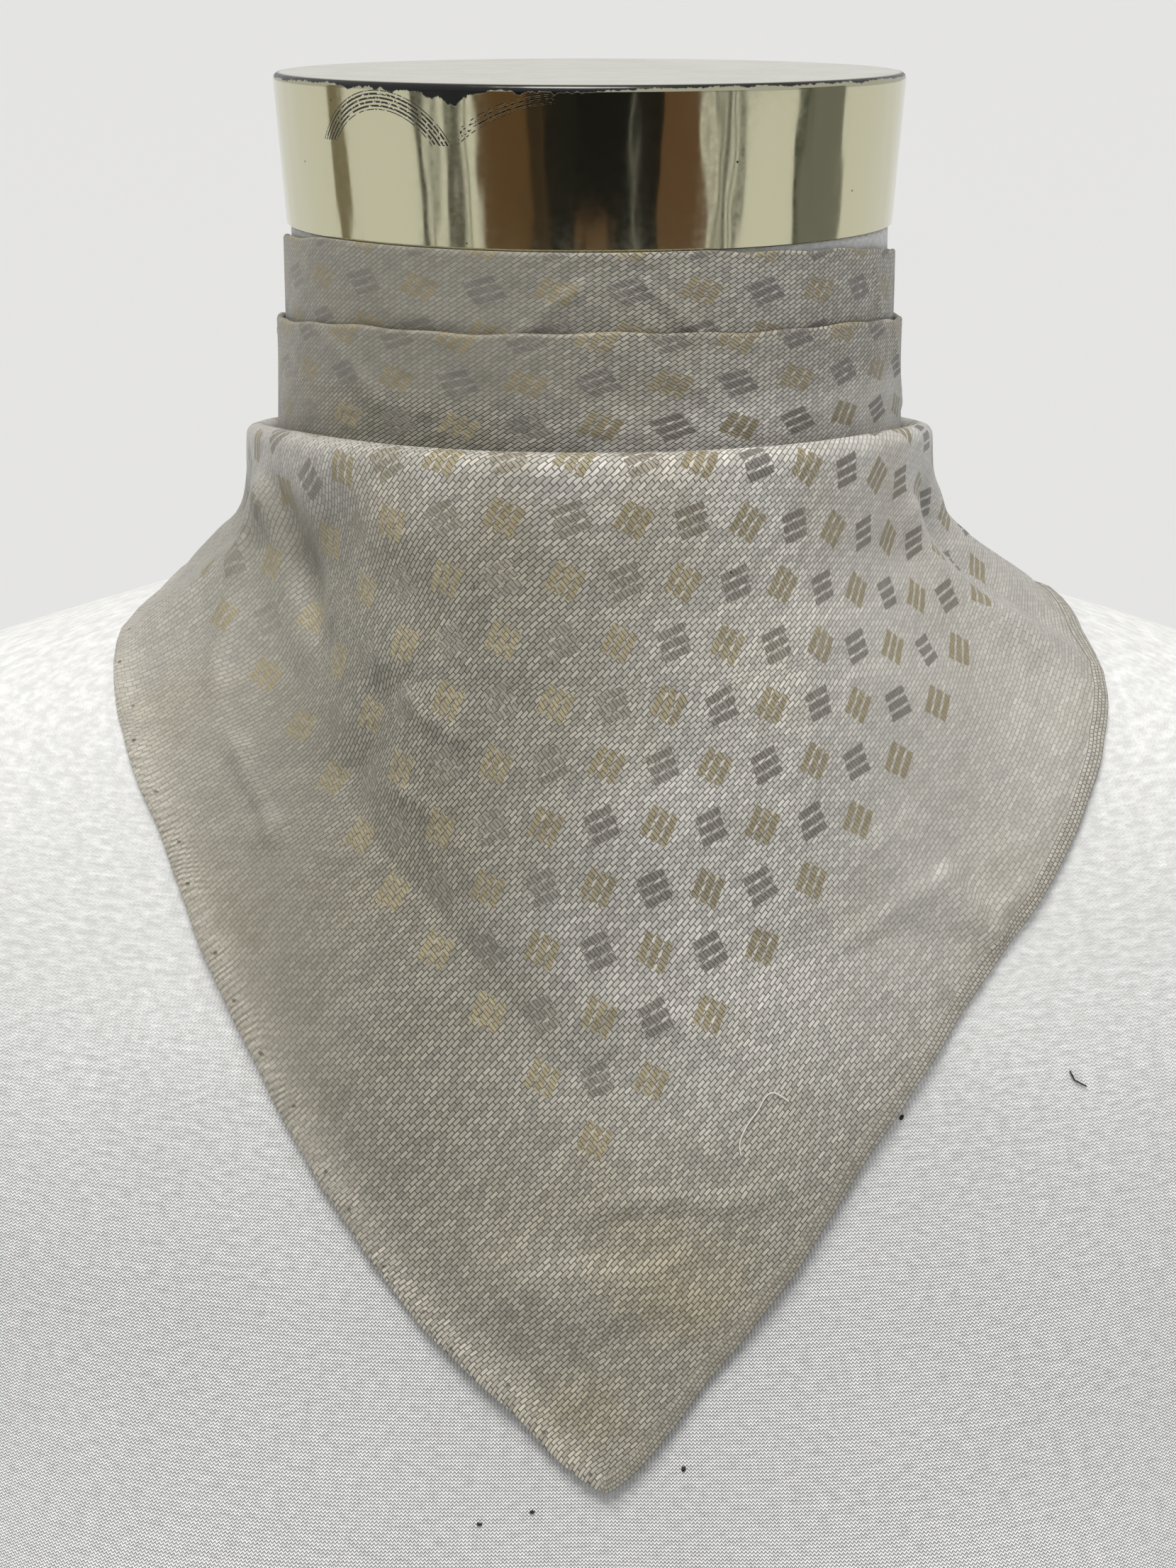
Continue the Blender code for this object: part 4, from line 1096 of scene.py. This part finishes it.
def makeJacquard():
    material, tree, shader = newMaterial("grey silk jacquard", {
        "Roughness": silk["roughness"], "Sheen Weight": 0.12, "Sheen Roughness": 0.4})
    flat = addNode(tree, "UVMap", uv_map="cut")[0]
    marks = {}
    for label in ("paintedSheen", "motifPaintedSheen", "crisp", "fromHem", "alongHem", "banded", "stain"):
        marks[label] = addNode(tree, "Attribute", attribute_name=label)["Fac"]

    # the motif's cell, and the place in it
    half = cut["pitch"] / 2
    local = addNode(tree, "VectorMath", {0: flat, 1: (half, half, 1), 2: (-half, -half, -1)},
                    operation="WRAP")[0]
    cell = addNode(tree, "VectorMath", {0: flat, 1: local}, operation="SUBTRACT")[0]
    cellXY = addNode(tree, "SeparateXYZ", {0: cell})
    both = addNode(tree, "Math", {0: cellXY[0], 1: cellXY[1]}, operation="ADD")[0]
    odd = addNode(tree, "Math", {0: both, 1: cut["pitch"]}, operation="PINGPONG")[0]
    odd = addNode(tree, "MapRange", {"Value": odd, "From Max": cut["pitch"]})[0]
    sideways = addNode(tree, "Math", {0: cellXY[0]}, operation="ABSOLUTE")[0]
    inside = addNode(tree, "Math", {0: cellXY[1], 1: sideways}, operation="SUBTRACT")[0]
    inside = addNode(tree, "Math", {0: inside, 1: -half}, operation="GREATER_THAN")[0]
    angle = addNode(tree, "MapRange", {"Value": odd, "To Min": -math.radians(silk["tanAngle"]),
                                       "To Max": -math.radians(silk["greyAngle"])})[0]
    turned = addNode(tree, "VectorRotate", {"Vector": local, "Angle": angle}, rotation_type="Z_AXIS")[0]
    turnedXY = addNode(tree, "SeparateXYZ", {0: turned})

    # threads: the warp rises to the right on the cut, the weft falls
    warp = addNode(tree, "Mapping", {"Vector": flat, "Rotation": (0, 0, -math.pi / 4)})[0]
    weft = addNode(tree, "Mapping", {"Vector": flat, "Rotation": (0, 0, math.pi / 4)})[0]
    warpFloats = addNode(tree, "TexBrick", {
        "Vector": warp, "Color1": (1.24, 1.24, 1.24, 1), "Color2": (0.74, 0.74, 0.74, 1),
        "Mortar": (0.05, 0.05, 0.05, 1), "Scale": 1.0, "Mortar Size": 0.15, "Mortar Smooth": 1.0, "Bias": 0.1,
        "Brick Width": silk["floatLength"], "Row Height": silk["threadPitch"]}, offset=0.4)
    weftFloats = addNode(tree, "TexBrick", {
        "Vector": weft, "Color1": (1.12, 1.12, 1.12, 1), "Color2": (0.80, 0.80, 0.80, 1),
        "Mortar": (0.12, 0.12, 0.12, 1), "Scale": 1.0, "Mortar Size": 0.09, "Mortar Smooth": 1.0, "Bias": 0.0,
        "Brick Width": silk["floatLength"] * 1.6, "Row Height": silk["threadPitch"] * 0.85}, offset=0.35)

    # three bars to a motif, their ends stepped by the threads
    steps = addNode(tree, "TexNoise", {"Vector": weft, "Scale": 1.6, "Detail": 1.0})["Fac"]
    length = addNode(tree, "Math", {0: turnedXY[0]}, operation="ABSOLUTE")[0]
    length = addNode(tree, "Math", {0: steps, 1: 0.9, 2: length}, operation="MULTIPLY_ADD")[0]
    length = addNode(tree, "MapRange", {"Value": length, "From Min": silk["barHalf"] + 0.33,
                                        "From Max": silk["barHalf"] + 0.57, "To Min": 1.0, "To Max": 0.0})[0]
    width = addNode(tree, "Math", {0: turnedXY[1]}, operation="ABSOLUTE")[0]
    width = addNode(tree, "MapRange", {"Value": width, "From Min": silk["barPitch"] * 1.33,
                                       "From Max": silk["barPitch"] * 1.43, "To Min": 1.0, "To Max": 0.0})[0]
    bars = addNode(tree, "Math", {0: turnedXY[1], 1: 2 * math.pi / silk["barPitch"]},
                   operation="MULTIPLY")[0]
    bars = addNode(tree, "Math", {0: bars}, operation="COSINE")[0]
    bars = addNode(tree, "MapRange", {"Value": bars, "From Min": -0.86, "From Max": -0.45})[0]
    motif = addNode(tree, "Math", {0: length, 1: width}, operation="MULTIPLY")[0]
    motif = addNode(tree, "Math", {0: motif, 1: bars}, operation="MULTIPLY")[0]
    motif = addNode(tree, "Math", {0: motif, 1: inside}, operation="MULTIPLY")[0]

    # colours of the ground and of the two motifs, each mixed from a painted-shade copy and a painted-sheen
    # copy by the painted sheen marks
    dyedAndSheened = {}
    for thread, mark in (("ground", "paintedSheen"), ("tan", "motifPaintedSheen"), ("grey", "motifPaintedSheen")):
        dyedAndSheened[thread] = addNode(tree, "Mix", {0: marks[mark], 6: linear(silk[thread + "PaintedShade"]),
                                             7: linear(silk[thread + "Lit"])}, data_type="RGBA")[2]
    woven = addNode(tree, "Mix", {0: odd, 6: dyedAndSheened["tan"], 7: dyedAndSheened["grey"]}, data_type="RGBA")[2]
    colour = addNode(tree, "Mix", {0: motif, 6: dyedAndSheened["ground"], 7: woven}, data_type="RGBA")[2]

    # age: yellowed spots and soiled edges, uneven slubs along the threads; along the hems the band's colour
    # on the right and, on the left, a paler colour painted as highlight on the roll
    mottle = addNode(tree, "TexNoise", {"Vector": flat, "Scale": 0.045, "Detail": 3.0,
                                        "Roughness": 0.6})["Fac"]
    spots = addNode(tree, "MapRange", {"Value": mottle, "From Min": 0.50, "From Max": 0.75,
                                       "To Max": 0.15})[0]
    spots = addNode(tree, "Math", {0: spots, 1: marks["stain"]}, operation="ADD")[0]
    colour = addNode(tree, "Mix", {0: spots, 6: colour, 7: linear(silk["stain"])}, data_type="RGBA")[2]
    # near the hems: the band's own colour on the right; on the left a paler colour, painted highlight on the
    # rolled edge
    edge = addNode(tree, "MapRange", {"Value": marks["fromHem"], "From Min": 1.5, "From Max": 9.0,
                                      "To Min": 0.30, "To Max": 0.0}, interpolation_type="SMOOTHSTEP")[0]
    hemTintAndHighlight = addNode(tree, "Mix", {0: marks["banded"], 6: linear(silk["hem"]), 7: linear(silk["band"])},
                        data_type="RGBA")[2]
    colour = addNode(tree, "Mix", {0: edge, 6: colour, 7: hemTintAndHighlight}, data_type="RGBA")[2]
    stretched = addNode(tree, "Mapping", {"Vector": warp, "Scale": (0.12, 1.6, 1)})[0]
    slubs = addNode(tree, "TexNoise", {"Vector": stretched, "Scale": 1.0, "Detail": 3.0,
                                       "Roughness": 0.7})["Fac"]
    slubs = addNode(tree, "MapRange", {"Value": slubs, "From Min": 0.25, "From Max": 0.75, "To Min": 0.80,
                                       "To Max": 1.20})[0]

    # the hems: a doubled band of coarser threads on the right, a rolled and tacked edge on the left
    hemPlace = addNode(tree, "CombineXYZ", {0: marks["alongHem"], 1: marks["fromHem"]})[0]
    basket = addNode(tree, "TexBrick", {
        "Vector": hemPlace, "Color1": (0.95, 0.95, 0.93, 1), "Color2": (0.62, 0.61, 0.58, 1),
        "Mortar": (0.15, 0.14, 0.13, 1), "Scale": 1.0, "Mortar Size": 0.10, "Mortar Smooth": 0.8,
        "Bias": -0.1, "Brick Width": 0.92, "Row Height": 0.72}, offset=0.5)
    inBand = addNode(tree, "MapRange", {"Value": marks["fromHem"], "From Min": 2.8, "From Max": 3.1,
                                        "To Min": 1.0, "To Max": 0.0})[0]
    inBand = addNode(tree, "Math", {0: inBand, 1: marks["banded"]}, operation="MULTIPLY")[0]
    floats = addNode(tree, "Mix", {0: motif, 6: warpFloats["Color"], 7: weftFloats["Color"]},
                     data_type="RGBA")[2]
    floats = addNode(tree, "Mix", {0: marks["crisp"], 6: (0.67, 0.67, 0.67, 1), 7: floats},
                     data_type="RGBA")[2]    # worn soft at the sides
    floats = addNode(tree, "Mix", {0: inBand, 6: floats, 7: basket["Color"]}, data_type="RGBA")[2]
    floats = addNode(tree, "VectorMath", {0: floats, "Scale": slubs}, operation="SCALE")[0]
    colour = addNode(tree, "Mix", {0: 0.9, 6: colour, 7: floats}, data_type="RGBA", blend_type="MULTIPLY")[2]
    astray = addNode(tree, "TexNoise", {"Vector": hemPlace, "Scale": 0.07, "Detail": 0.0})
    strayed = addNode(tree, "VectorMath", {0: astray["Color"], 1: (9, 5, 0), 2: hemPlace},
                      operation="MULTIPLY_ADD")[0]
    stitch = addNode(tree, "VectorMath", {0: strayed, 1: (5.4, 50, 1), 2: (-5.4, -50, -1)},
                     operation="WRAP")[0]
    stitch = addNode(tree, "VectorMath", {0: stitch, 1: (0.0, 4.7, 0.0)}, operation="DISTANCE")[1]
    stitch = addNode(tree, "MapRange", {"Value": stitch, "From Min": 0.12, "From Max": 0.50, "To Min": 0.85,
                                        "To Max": 0.0})[0]
    plain = addNode(tree, "Math", {0: 1.0, 1: marks["banded"]}, operation="SUBTRACT")[0]
    stitch = addNode(tree, "Math", {0: stitch, 1: plain}, operation="MULTIPLY")[0]
    colour = addNode(tree, "Mix", {0: stitch, 6: colour, 7: linear(silk["stitch"])}, data_type="RGBA")[2]
    ribs = addNode(tree, "Math", {0: astray["Fac"], 1: 12.0, 2: marks["alongHem"]},
                   operation="MULTIPLY_ADD")[0]
    ribs = addNode(tree, "Math", {0: ribs, 1: 4.6}, operation="MULTIPLY")[0]
    ribs = addNode(tree, "Math", {0: ribs}, operation="SINE")[0]
    nearEdge = addNode(tree, "MapRange", {"Value": marks["fromHem"], "From Min": 1.0, "From Max": 6.5,
                                          "To Min": 0.09, "To Max": 0.0})[0]
    ribs = addNode(tree, "Math", {0: ribs, 1: nearEdge}, operation="MULTIPLY")[0]
    ribs = addNode(tree, "Math", {0: ribs, 1: plain}, operation="MULTIPLY")[0]
    tree.links.new(colour, shader.inputs["Base Color"])

    # relief in millimetres: threads, puckers at the stitches and a soft unevenness
    relief = addNode(tree, "Math", {0: floats, 1: 0.10}, operation="MULTIPLY")[0]
    relief = addNode(tree, "Math", {0: stitch, 1: -0.35, 2: relief}, operation="MULTIPLY_ADD")[0]
    relief = addNode(tree, "Math", {0: relief, 1: ribs}, operation="ADD")[0]
    soft = addNode(tree, "TexNoise", {"Vector": flat, "Scale": 0.075, "Detail": 2.0})["Fac"]
    relief = addNode(tree, "Math", {0: soft, 1: 1.6, 2: relief}, operation="MULTIPLY_ADD")[0]
    bump = addNode(tree, "Bump", {"Height": relief, "Strength": 1.0, "Distance": 0.001})[0]
    tree.links.new(bump, shader.inputs["Normal"])
    return material


# Cotton jersey: matt, with fine upright wales and a slightly mottled yarn, and painted shade over its
# shoulder tops

jersey = {
    "light": "#FBFBFA",
    "shade": "#D2D2D0",
    "wale": 0.72,      # mm between the upright rows of loops, drawn a little coarse
    "loop": 0.62,
}


def makeJersey():
    material, tree, shader = newMaterial("white cotton jersey", {
        "Roughness": 0.95, "Specular IOR Level": 0.2})
    flat = addNode(tree, "UVMap", uv_map="cut")[0]
    flatXY = addNode(tree, "SeparateXYZ", {0: flat})
    leg = addNode(tree, "Math", {0: flatXY[0], 1: jersey["wale"] / 2}, operation="PINGPONG")[0]
    rise = addNode(tree, "Math", {0: leg, 1: 1.3, 2: flatXY[1]}, operation="MULTIPLY_ADD")[0]
    rise = addNode(tree, "Math", {0: rise, 1: 2 * math.pi / jersey["loop"]}, operation="MULTIPLY")[0]
    rise = addNode(tree, "Math", {0: rise}, operation="SINE")[0]
    wale = addNode(tree, "MapRange", {"Value": leg, "From Max": jersey["wale"] / 2, "To Min": -0.5,
                                      "To Max": 0.5})[0]
    loops = addNode(tree, "Math", {0: rise, 1: 0.22, 2: wale}, operation="MULTIPLY_ADD")[0]
    # 1 below the shoulders and 0.1 over them: the wales fade there, and the tone is painted darker there as
    #                                          painted shade
    walesAndPaintedLight = addNode(tree, "MapRange", {"Value": flatXY[1], "From Min": 270.0, "From Max": 330.0,
                                          "To Min": 1.0, "To Max": 0.1})[0]
    loops = addNode(tree, "Math", {0: loops, 1: walesAndPaintedLight}, operation="MULTIPLY")[0]
    spread = addNode(tree, "Mapping", {"Vector": flat, "Scale": (0.55, 1.1, 1)})[0]
    yarn = addNode(tree, "TexNoise", {"Vector": spread, "Scale": 0.8, "Detail": 4.0,
                                      "Roughness": 0.65})["Fac"]
    uneven = addNode(tree, "TexNoise", {"Vector": flat, "Scale": 0.02, "Detail": 2.0})["Fac"]
    tone = addNode(tree, "Math", {0: loops, 1: 0.5}, operation="MULTIPLY")[0]
    tone = addNode(tree, "Math", {0: yarn, 1: 1.8, 2: tone}, operation="MULTIPLY_ADD")[0]
    tone = addNode(tree, "Math", {0: uneven, 1: 0.4, 2: tone}, operation="MULTIPLY_ADD")[0]
    # painted shade: a lower tone over the shoulder tops
    tone = addNode(tree, "Math", {0: walesAndPaintedLight, 1: 0.42, 2: tone}, operation="MULTIPLY_ADD")[0]
    tone = addNode(tree, "MapRange", {"Value": tone, "From Min": 0.98, "From Max": 1.88})[0]
    colour = addNode(tree, "Mix", {0: tone, 6: linear(jersey["shade"]), 7: linear(jersey["light"])},
                     data_type="RGBA")[2]
    tree.links.new(colour, shader.inputs["Base Color"])
    relief = addNode(tree, "Math", {0: yarn, 1: 0.5, 2: loops}, operation="MULTIPLY_ADD")[0]
    bump = addNode(tree, "Bump", {"Height": relief, "Strength": 1.0, "Distance": 0.0005})[0]
    tree.links.new(bump, shader.inputs["Normal"])
    return material


# Vacuum-plated plastic: a pale gold mirror, rubbed through to the black base along its rim

plating = {
    "gold": "#CFCCAE",
    "bare": "#0B0B0A",
    "paleTop": "#CDCAC0",
    "roughness": 0.09,
    "scratchCentre": (-40.3, -19.1),     # mm round from the front, and below the top
    "faintCentre": (-4.5, -32.9),
}


def makePlating():
    material, tree, shader = newMaterial("pale gold plating on black plastic")
    flat = addNode(tree, "UVMap", uv_map="cut")[0]
    flatXY = addNode(tree, "SeparateXYZ", {0: flat})
    grain = addNode(tree, "TexNoise", {"Vector": flat, "Scale": 0.55, "Detail": 6.0,
                                       "Roughness": 0.75})["Fac"]
    long = addNode(tree, "Mapping", {"Vector": flat, "Scale": (0.10, 0.0, 1)})[0]
    along = addNode(tree, "TexNoise", {"Vector": long, "Scale": 1.0, "Detail": 6.0, "Roughness": 0.7})["Fac"]
    fine = addNode(tree, "TexNoise", {"Vector": flat, "Scale": 1.3, "Detail": 2.0})["Fac"]

    # worn rim: deepest left of the middle, thin further right
    worn = addNode(tree, "MapRange", {"Value": flatXY[0], "From Min": -3.0, "From Max": 14.0, "To Min": 1.15,
                                      "To Max": 0.30}, interpolation_type="SMOOTHSTEP")[0]
    before = addNode(tree, "MapRange", {"Value": flatXY[0], "From Min": -62.0, "From Max": -36.0,
                                        "To Min": 0.45, "To Max": 1.0}, interpolation_type="SMOOTHSTEP")[0]
    worn = addNode(tree, "Math", {0: worn, 1: before}, operation="MULTIPLY")[0]
    bite = addNode(tree, "Math", {0: flatXY[0], 1: 26.0}, operation="ADD")[0]
    bite = addNode(tree, "Math", {0: bite}, operation="ABSOLUTE")[0]
    bite = addNode(tree, "MapRange", {"Value": bite, "From Min": 1.0, "From Max": 9.0, "To Min": 1.3,
                                      "To Max": 0.0}, interpolation_type="SMOOTHSTEP")[0]
    worn = addNode(tree, "Math", {0: worn, 1: bite}, operation="ADD")[0]
    ragged = addNode(tree, "MapRange", {"Value": along, "From Min": 0.35, "From Max": 0.62, "To Min": 0.15,
                                        "To Max": 1.45})[0]
    worn = addNode(tree, "Math", {0: worn, 1: ragged}, operation="MULTIPLY")[0]
    worn = addNode(tree, "Math", {0: grain, 1: 1.5, 2: worn}, operation="MULTIPLY_ADD")[0]
    worn = addNode(tree, "Math", {0: flatXY[1], 1: worn}, operation="ADD")[0]
    worn = addNode(tree, "MapRange", {"Value": worn, "From Min": 0.35, "From Max": 0.5})[0]
    side = addNode(tree, "MapRange", {"Value": flatXY[1], "From Min": -0.14, "From Max": -0.05,
                                      "To Min": 1.0, "To Max": 0.0})[0]
    worn = addNode(tree, "Math", {0: worn, 1: side}, operation="MULTIPLY")[0]

    # arcs that something round has rubbed into it
    rubbed = worn
    for centre, inner, outer, lines, start, end, dash in (
            (plating["scratchCentre"], 14.3, 17.7, 5, -57, -24, 0.42),
            (plating["faintCentre"], 29.6, 31.6, 3, -24, -6, 0.52)):
        away = addNode(tree, "VectorMath", {0: flat, 1: (*centre, 0)}, operation="DISTANCE")[1]
        ring = addNode(tree, "MapRange", {"Value": away, "From Min": inner, "From Max": outer,
                                          "To Max": lines}, clamp=False)[0]
        ring = addNode(tree, "Math", {0: ring, 1: 0.5}, operation="PINGPONG")[0]
        ring = addNode(tree, "MapRange", {"Value": ring, "From Min": 0.18, "From Max": 0.34, "To Min": 1.0,
                                          "To Max": 0.0})[0]
        within = addNode(tree, "Math", {0: away, 1: (inner + outer) / 2, 2: (outer - inner) / 2},
                         operation="COMPARE")[0]
        reach = addNode(tree, "Math", {0: flatXY[0], 1: (start + end) / 2, 2: (end - start) / 2},
                        operation="COMPARE")[0]
        dashes = addNode(tree, "Math", {0: fine, 1: dash}, operation="GREATER_THAN")[0]
        above = addNode(tree, "Math", {0: flatXY[1], 1: -10.5}, operation="GREATER_THAN")[0]
        for part in (within, reach, dashes, above):
            ring = addNode(tree, "Math", {0: ring, 1: part}, operation="MULTIPLY")[0]
        rubbed = addNode(tree, "Math", {0: rubbed, 1: ring}, operation="MAXIMUM")[0]

    # pits and short nicks, more of them along the lower edge
    pits = addNode(tree, "TexVoronoi", {"Vector": flat, "Scale": 0.16})["Distance"]
    pits = addNode(tree, "Math", {0: pits, 1: 0.034}, operation="LESS_THAN")[0]
    upright = addNode(tree, "Mapping", {"Vector": flat, "Scale": (1.0, 0.08, 1)})[0]
    nicks = addNode(tree, "TexVoronoi", {"Vector": upright, "Scale": 0.22})["Distance"]
    nicks = addNode(tree, "Math", {0: nicks, 1: 0.05}, operation="LESS_THAN")[0]
    low = addNode(tree, "Math", {0: grain, 1: 4.0, 2: -28.0}, operation="MULTIPLY_ADD")[0]
    low = addNode(tree, "Math", {0: flatXY[1], 1: low}, operation="LESS_THAN")[0]
    nicks = addNode(tree, "Math", {0: nicks, 1: low}, operation="MULTIPLY")[0]
    rubbed = addNode(tree, "Math", {0: rubbed, 1: pits}, operation="MAXIMUM")[0]
    rubbed = addNode(tree, "Math", {0: rubbed, 1: nicks}, operation="MAXIMUM")[0]

    colour = addNode(tree, "Mix", {0: rubbed, 6: linear(plating["gold"]), 7: linear(plating["bare"])},
                     data_type="RGBA")[2]
    # the top face takes a pale, matt, mottled colour over most of it
    place = addNode(tree, "TexCoord")["Object"]
    paleTop = addNode(tree, "TexNoise", {"Vector": place, "Scale": 90.0, "Detail": 5.0,
                                      "Roughness": 0.7})["Fac"]
    paleTop = addNode(tree, "MapRange", {"Value": paleTop, "From Min": 0.30, "From Max": 0.62, "To Min": 0.72,
                                      "To Max": 0.95})[0]
    onTop = addNode(tree, "Math", {0: flatXY[1], 1: -0.02}, operation="GREATER_THAN")[0]
    paleTop = addNode(tree, "Math", {0: paleTop, 1: onTop}, operation="MULTIPLY")[0]
    colour = addNode(tree, "Mix", {0: paleTop, 6: colour, 7: linear(plating["paleTop"])}, data_type="RGBA")[2]
    bare = addNode(tree, "Math", {0: rubbed, 1: paleTop}, operation="MAXIMUM")[0]
    metal = addNode(tree, "Math", {0: 1.0, 1: bare}, operation="SUBTRACT")[0]
    rough = addNode(tree, "MapRange", {"Value": grain, "From Min": 0.3, "From Max": 0.7,
                                       "To Min": plating["roughness"] * 0.8,
                                       "To Max": plating["roughness"] * 1.5})[0]
    rough = addNode(tree, "Math", {0: bare, 1: 0.12, 2: rough}, operation="MULTIPLY_ADD")[0]
    tree.links.new(colour, shader.inputs["Base Color"])
    tree.links.new(metal, shader.inputs["Metallic"])
    tree.links.new(rough, shader.inputs["Roughness"])
    # the thin moulding is not a true cylinder, so what it mirrors wavers
    tall = addNode(tree, "Mapping", {"Vector": flat, "Scale": (0.11, 0.03, 1)})[0]
    waver = addNode(tree, "TexNoise", {"Vector": tall, "Scale": 1.0, "Detail": 1.5})["Fac"]
    waver = addNode(tree, "Math", {0: waver, 1: 0.28}, operation="MULTIPLY")[0]
    bump = addNode(tree, "Bump", {"Height": waver, "Strength": 1.0, "Distance": 0.001})[0]
    tree.links.new(bump, shader.inputs["Normal"])
    return material


# Camera, light and floor

studio = {
    "cameraPlace": (-0.0003, -0.486, 0.5044),
    "cameraPitch": 18.8,      # degrees below the horizon
    "cameraLens": 55.3,
    "floor": "#CACACA",
    "floorSize": 160.0,
    "ambient": 0.55,
    "keyTurn": (12, -5, 0),   # degrees that the soft overhead light leans towards the front and the right
    "keyStrength": 2.55,
    # what the plated cap mirrors: direction from the front and half width in degrees, colour, height
    "boards": [(-100.7, 4.3, "#9A9078", 0.42), (-61, 2.0, "#4A4840", 0.42), (-56, 0.7, "#77756C", 0.42),
               (-48.9, 2.3, "#5F5D54", 0.42), (-44, 0.7, "#8A887C", 0.42), (-19, 3.0, "#453626", 0.42),
               (-27, 11.5, "#785A3C", 0.42), (2.0, 6.0, "#7A5A3E", -0.31), (-10.5, 5.0, "#1F1D1B", 0.42),
               (4.2, 11.0, "#121110", 0.42), (20, 4.5, "#1D1916", 0.42), (32.3, 8.6, "#7C5C43", 0.42),
               (44, 1.0, "#8C8A80", 0.42), (47.4, 1.3, "#4F4E49", 0.42), (51.5, 0.7, "#6F6E68", 0.42),
               (55, 0.9, "#5A5954", 0.42), (81.5, 1.6, "#55584F", 0.42), (91, 11.5, "#8C8C87", 0.42)],
    "boardDistance": 1.6,
    "boardHeight": 0.9,
    "sky": (0.97, 0.98, 1.0, 1),
    "keyColour": (1.0, 0.985, 0.955),
    "keySpread": 26,          # degrees
}


def makeStudio():
    bpy.ops.object.camera_add(location=studio["cameraPlace"],
                              rotation=(math.radians(90 - studio["cameraPitch"]), 0, 0))
    camera = bpy.context.object
    camera.data.lens = studio["cameraLens"]
    camera.data.clip_end = 400
    bpy.context.scene.camera = camera
    bpy.ops.mesh.primitive_plane_add(size=studio["floorSize"])
    floor = bpy.context.object
    floor.name = "floor"
    floor.data.materials.append(plainMaterial("matt studio paint", studio["floor"], 0.95))
    for number, (direction, halfWidth, colour, height) in enumerate(studio["boards"]):
        angle = math.radians(direction)
        away = studio["boardDistance"] + 0.01 * number
        place = (away * math.sin(angle), -away * math.cos(angle), height)
        bpy.ops.mesh.primitive_plane_add(size=1, location=place, rotation=(math.pi / 2, 0, angle))
        board = bpy.context.object
        board.name = "reflectorBoard%d" % number
        board.scale = (2 * away * math.tan(math.radians(halfWidth)), studio["boardHeight"], 1)
        board.data.materials.append(plainMaterial("dark felt board", colour, 1.0))
        board.visible_camera = False    # the gloss alone sees it
        board.visible_diffuse = False
        board.visible_shadow = False
    world = bpy.data.worlds.new("studio")
    bpy.context.scene.world = world
    world.use_nodes = True
    background = world.node_tree.nodes["Background"]
    background.inputs["Color"].default_value = studio["sky"]
    background.inputs["Strength"].default_value = studio["ambient"]
    bpy.ops.object.light_add(type="SUN", rotation=[math.radians(a) for a in studio["keyTurn"]])
    key = bpy.context.object
    key.data.energy = studio["keyStrength"]
    key.data.angle = math.radians(studio["keySpread"])
    key.data.color = studio["keyColour"]
    bpy.context.scene.view_settings.view_transform = "Standard"


makeStudio()
print("studio ready")
jacquard, coverCloth, goldPlate = makeJacquard(), makeJersey(), makePlating()
print("materials ready")
formPiece, capPiece = makeForm(), makeCap()
print("form and cap made")
drapePiece = makeDrape()
print("drape made")
upperPiece, lowerPiece = makePleat("pleatUpper", "upper"), makePleat("pleatLower", "lower")
leftTail = makeTail("tailLeftCloth", -1, tails["leftLength"], tails["leftEnd"])
rightTail = makeTail("tailRightCloth", 1, tails["rightLength"], tails["rightEnd"])
knotPiece = makeKnot()
print("pleats, knot and tails made")
for piece, material, slotName, node in (
        (formPiece, coverCloth, "jersey", "form_torso"),
        (capPiece, goldPlate, "plating", "neck_cap"),
        (drapePiece, jacquard, "jacquard", "front_drape"),
        (upperPiece, jacquard, "jacquard", "neck_pleat_upper"),
        (lowerPiece, jacquard, "jacquard", "neck_pleat_lower"),
        (knotPiece, jacquard, "jacquard", "back_knot"),
        (leftTail, jacquard, "jacquard", "tail_left"),
        (rightTail, jacquard, "jacquard", "tail_right")):
    piece.data.materials.clear()
    piece.data.materials.append(material)
    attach(piece, "root")
    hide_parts(node)
for makePiece, finish, colour, roughness, slotName in (
        (makeThread, "loose white silk thread", "#D9D5CC", 0.6, "jacquard"),
        (makeSpecks, "specks of dirt", "#2B2621", 0.9, "jersey")):
    piece = makePiece()
    piece.data.materials.append(plainMaterial(finish, colour, roughness))
    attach(piece, "root")
print("thread and specks made")
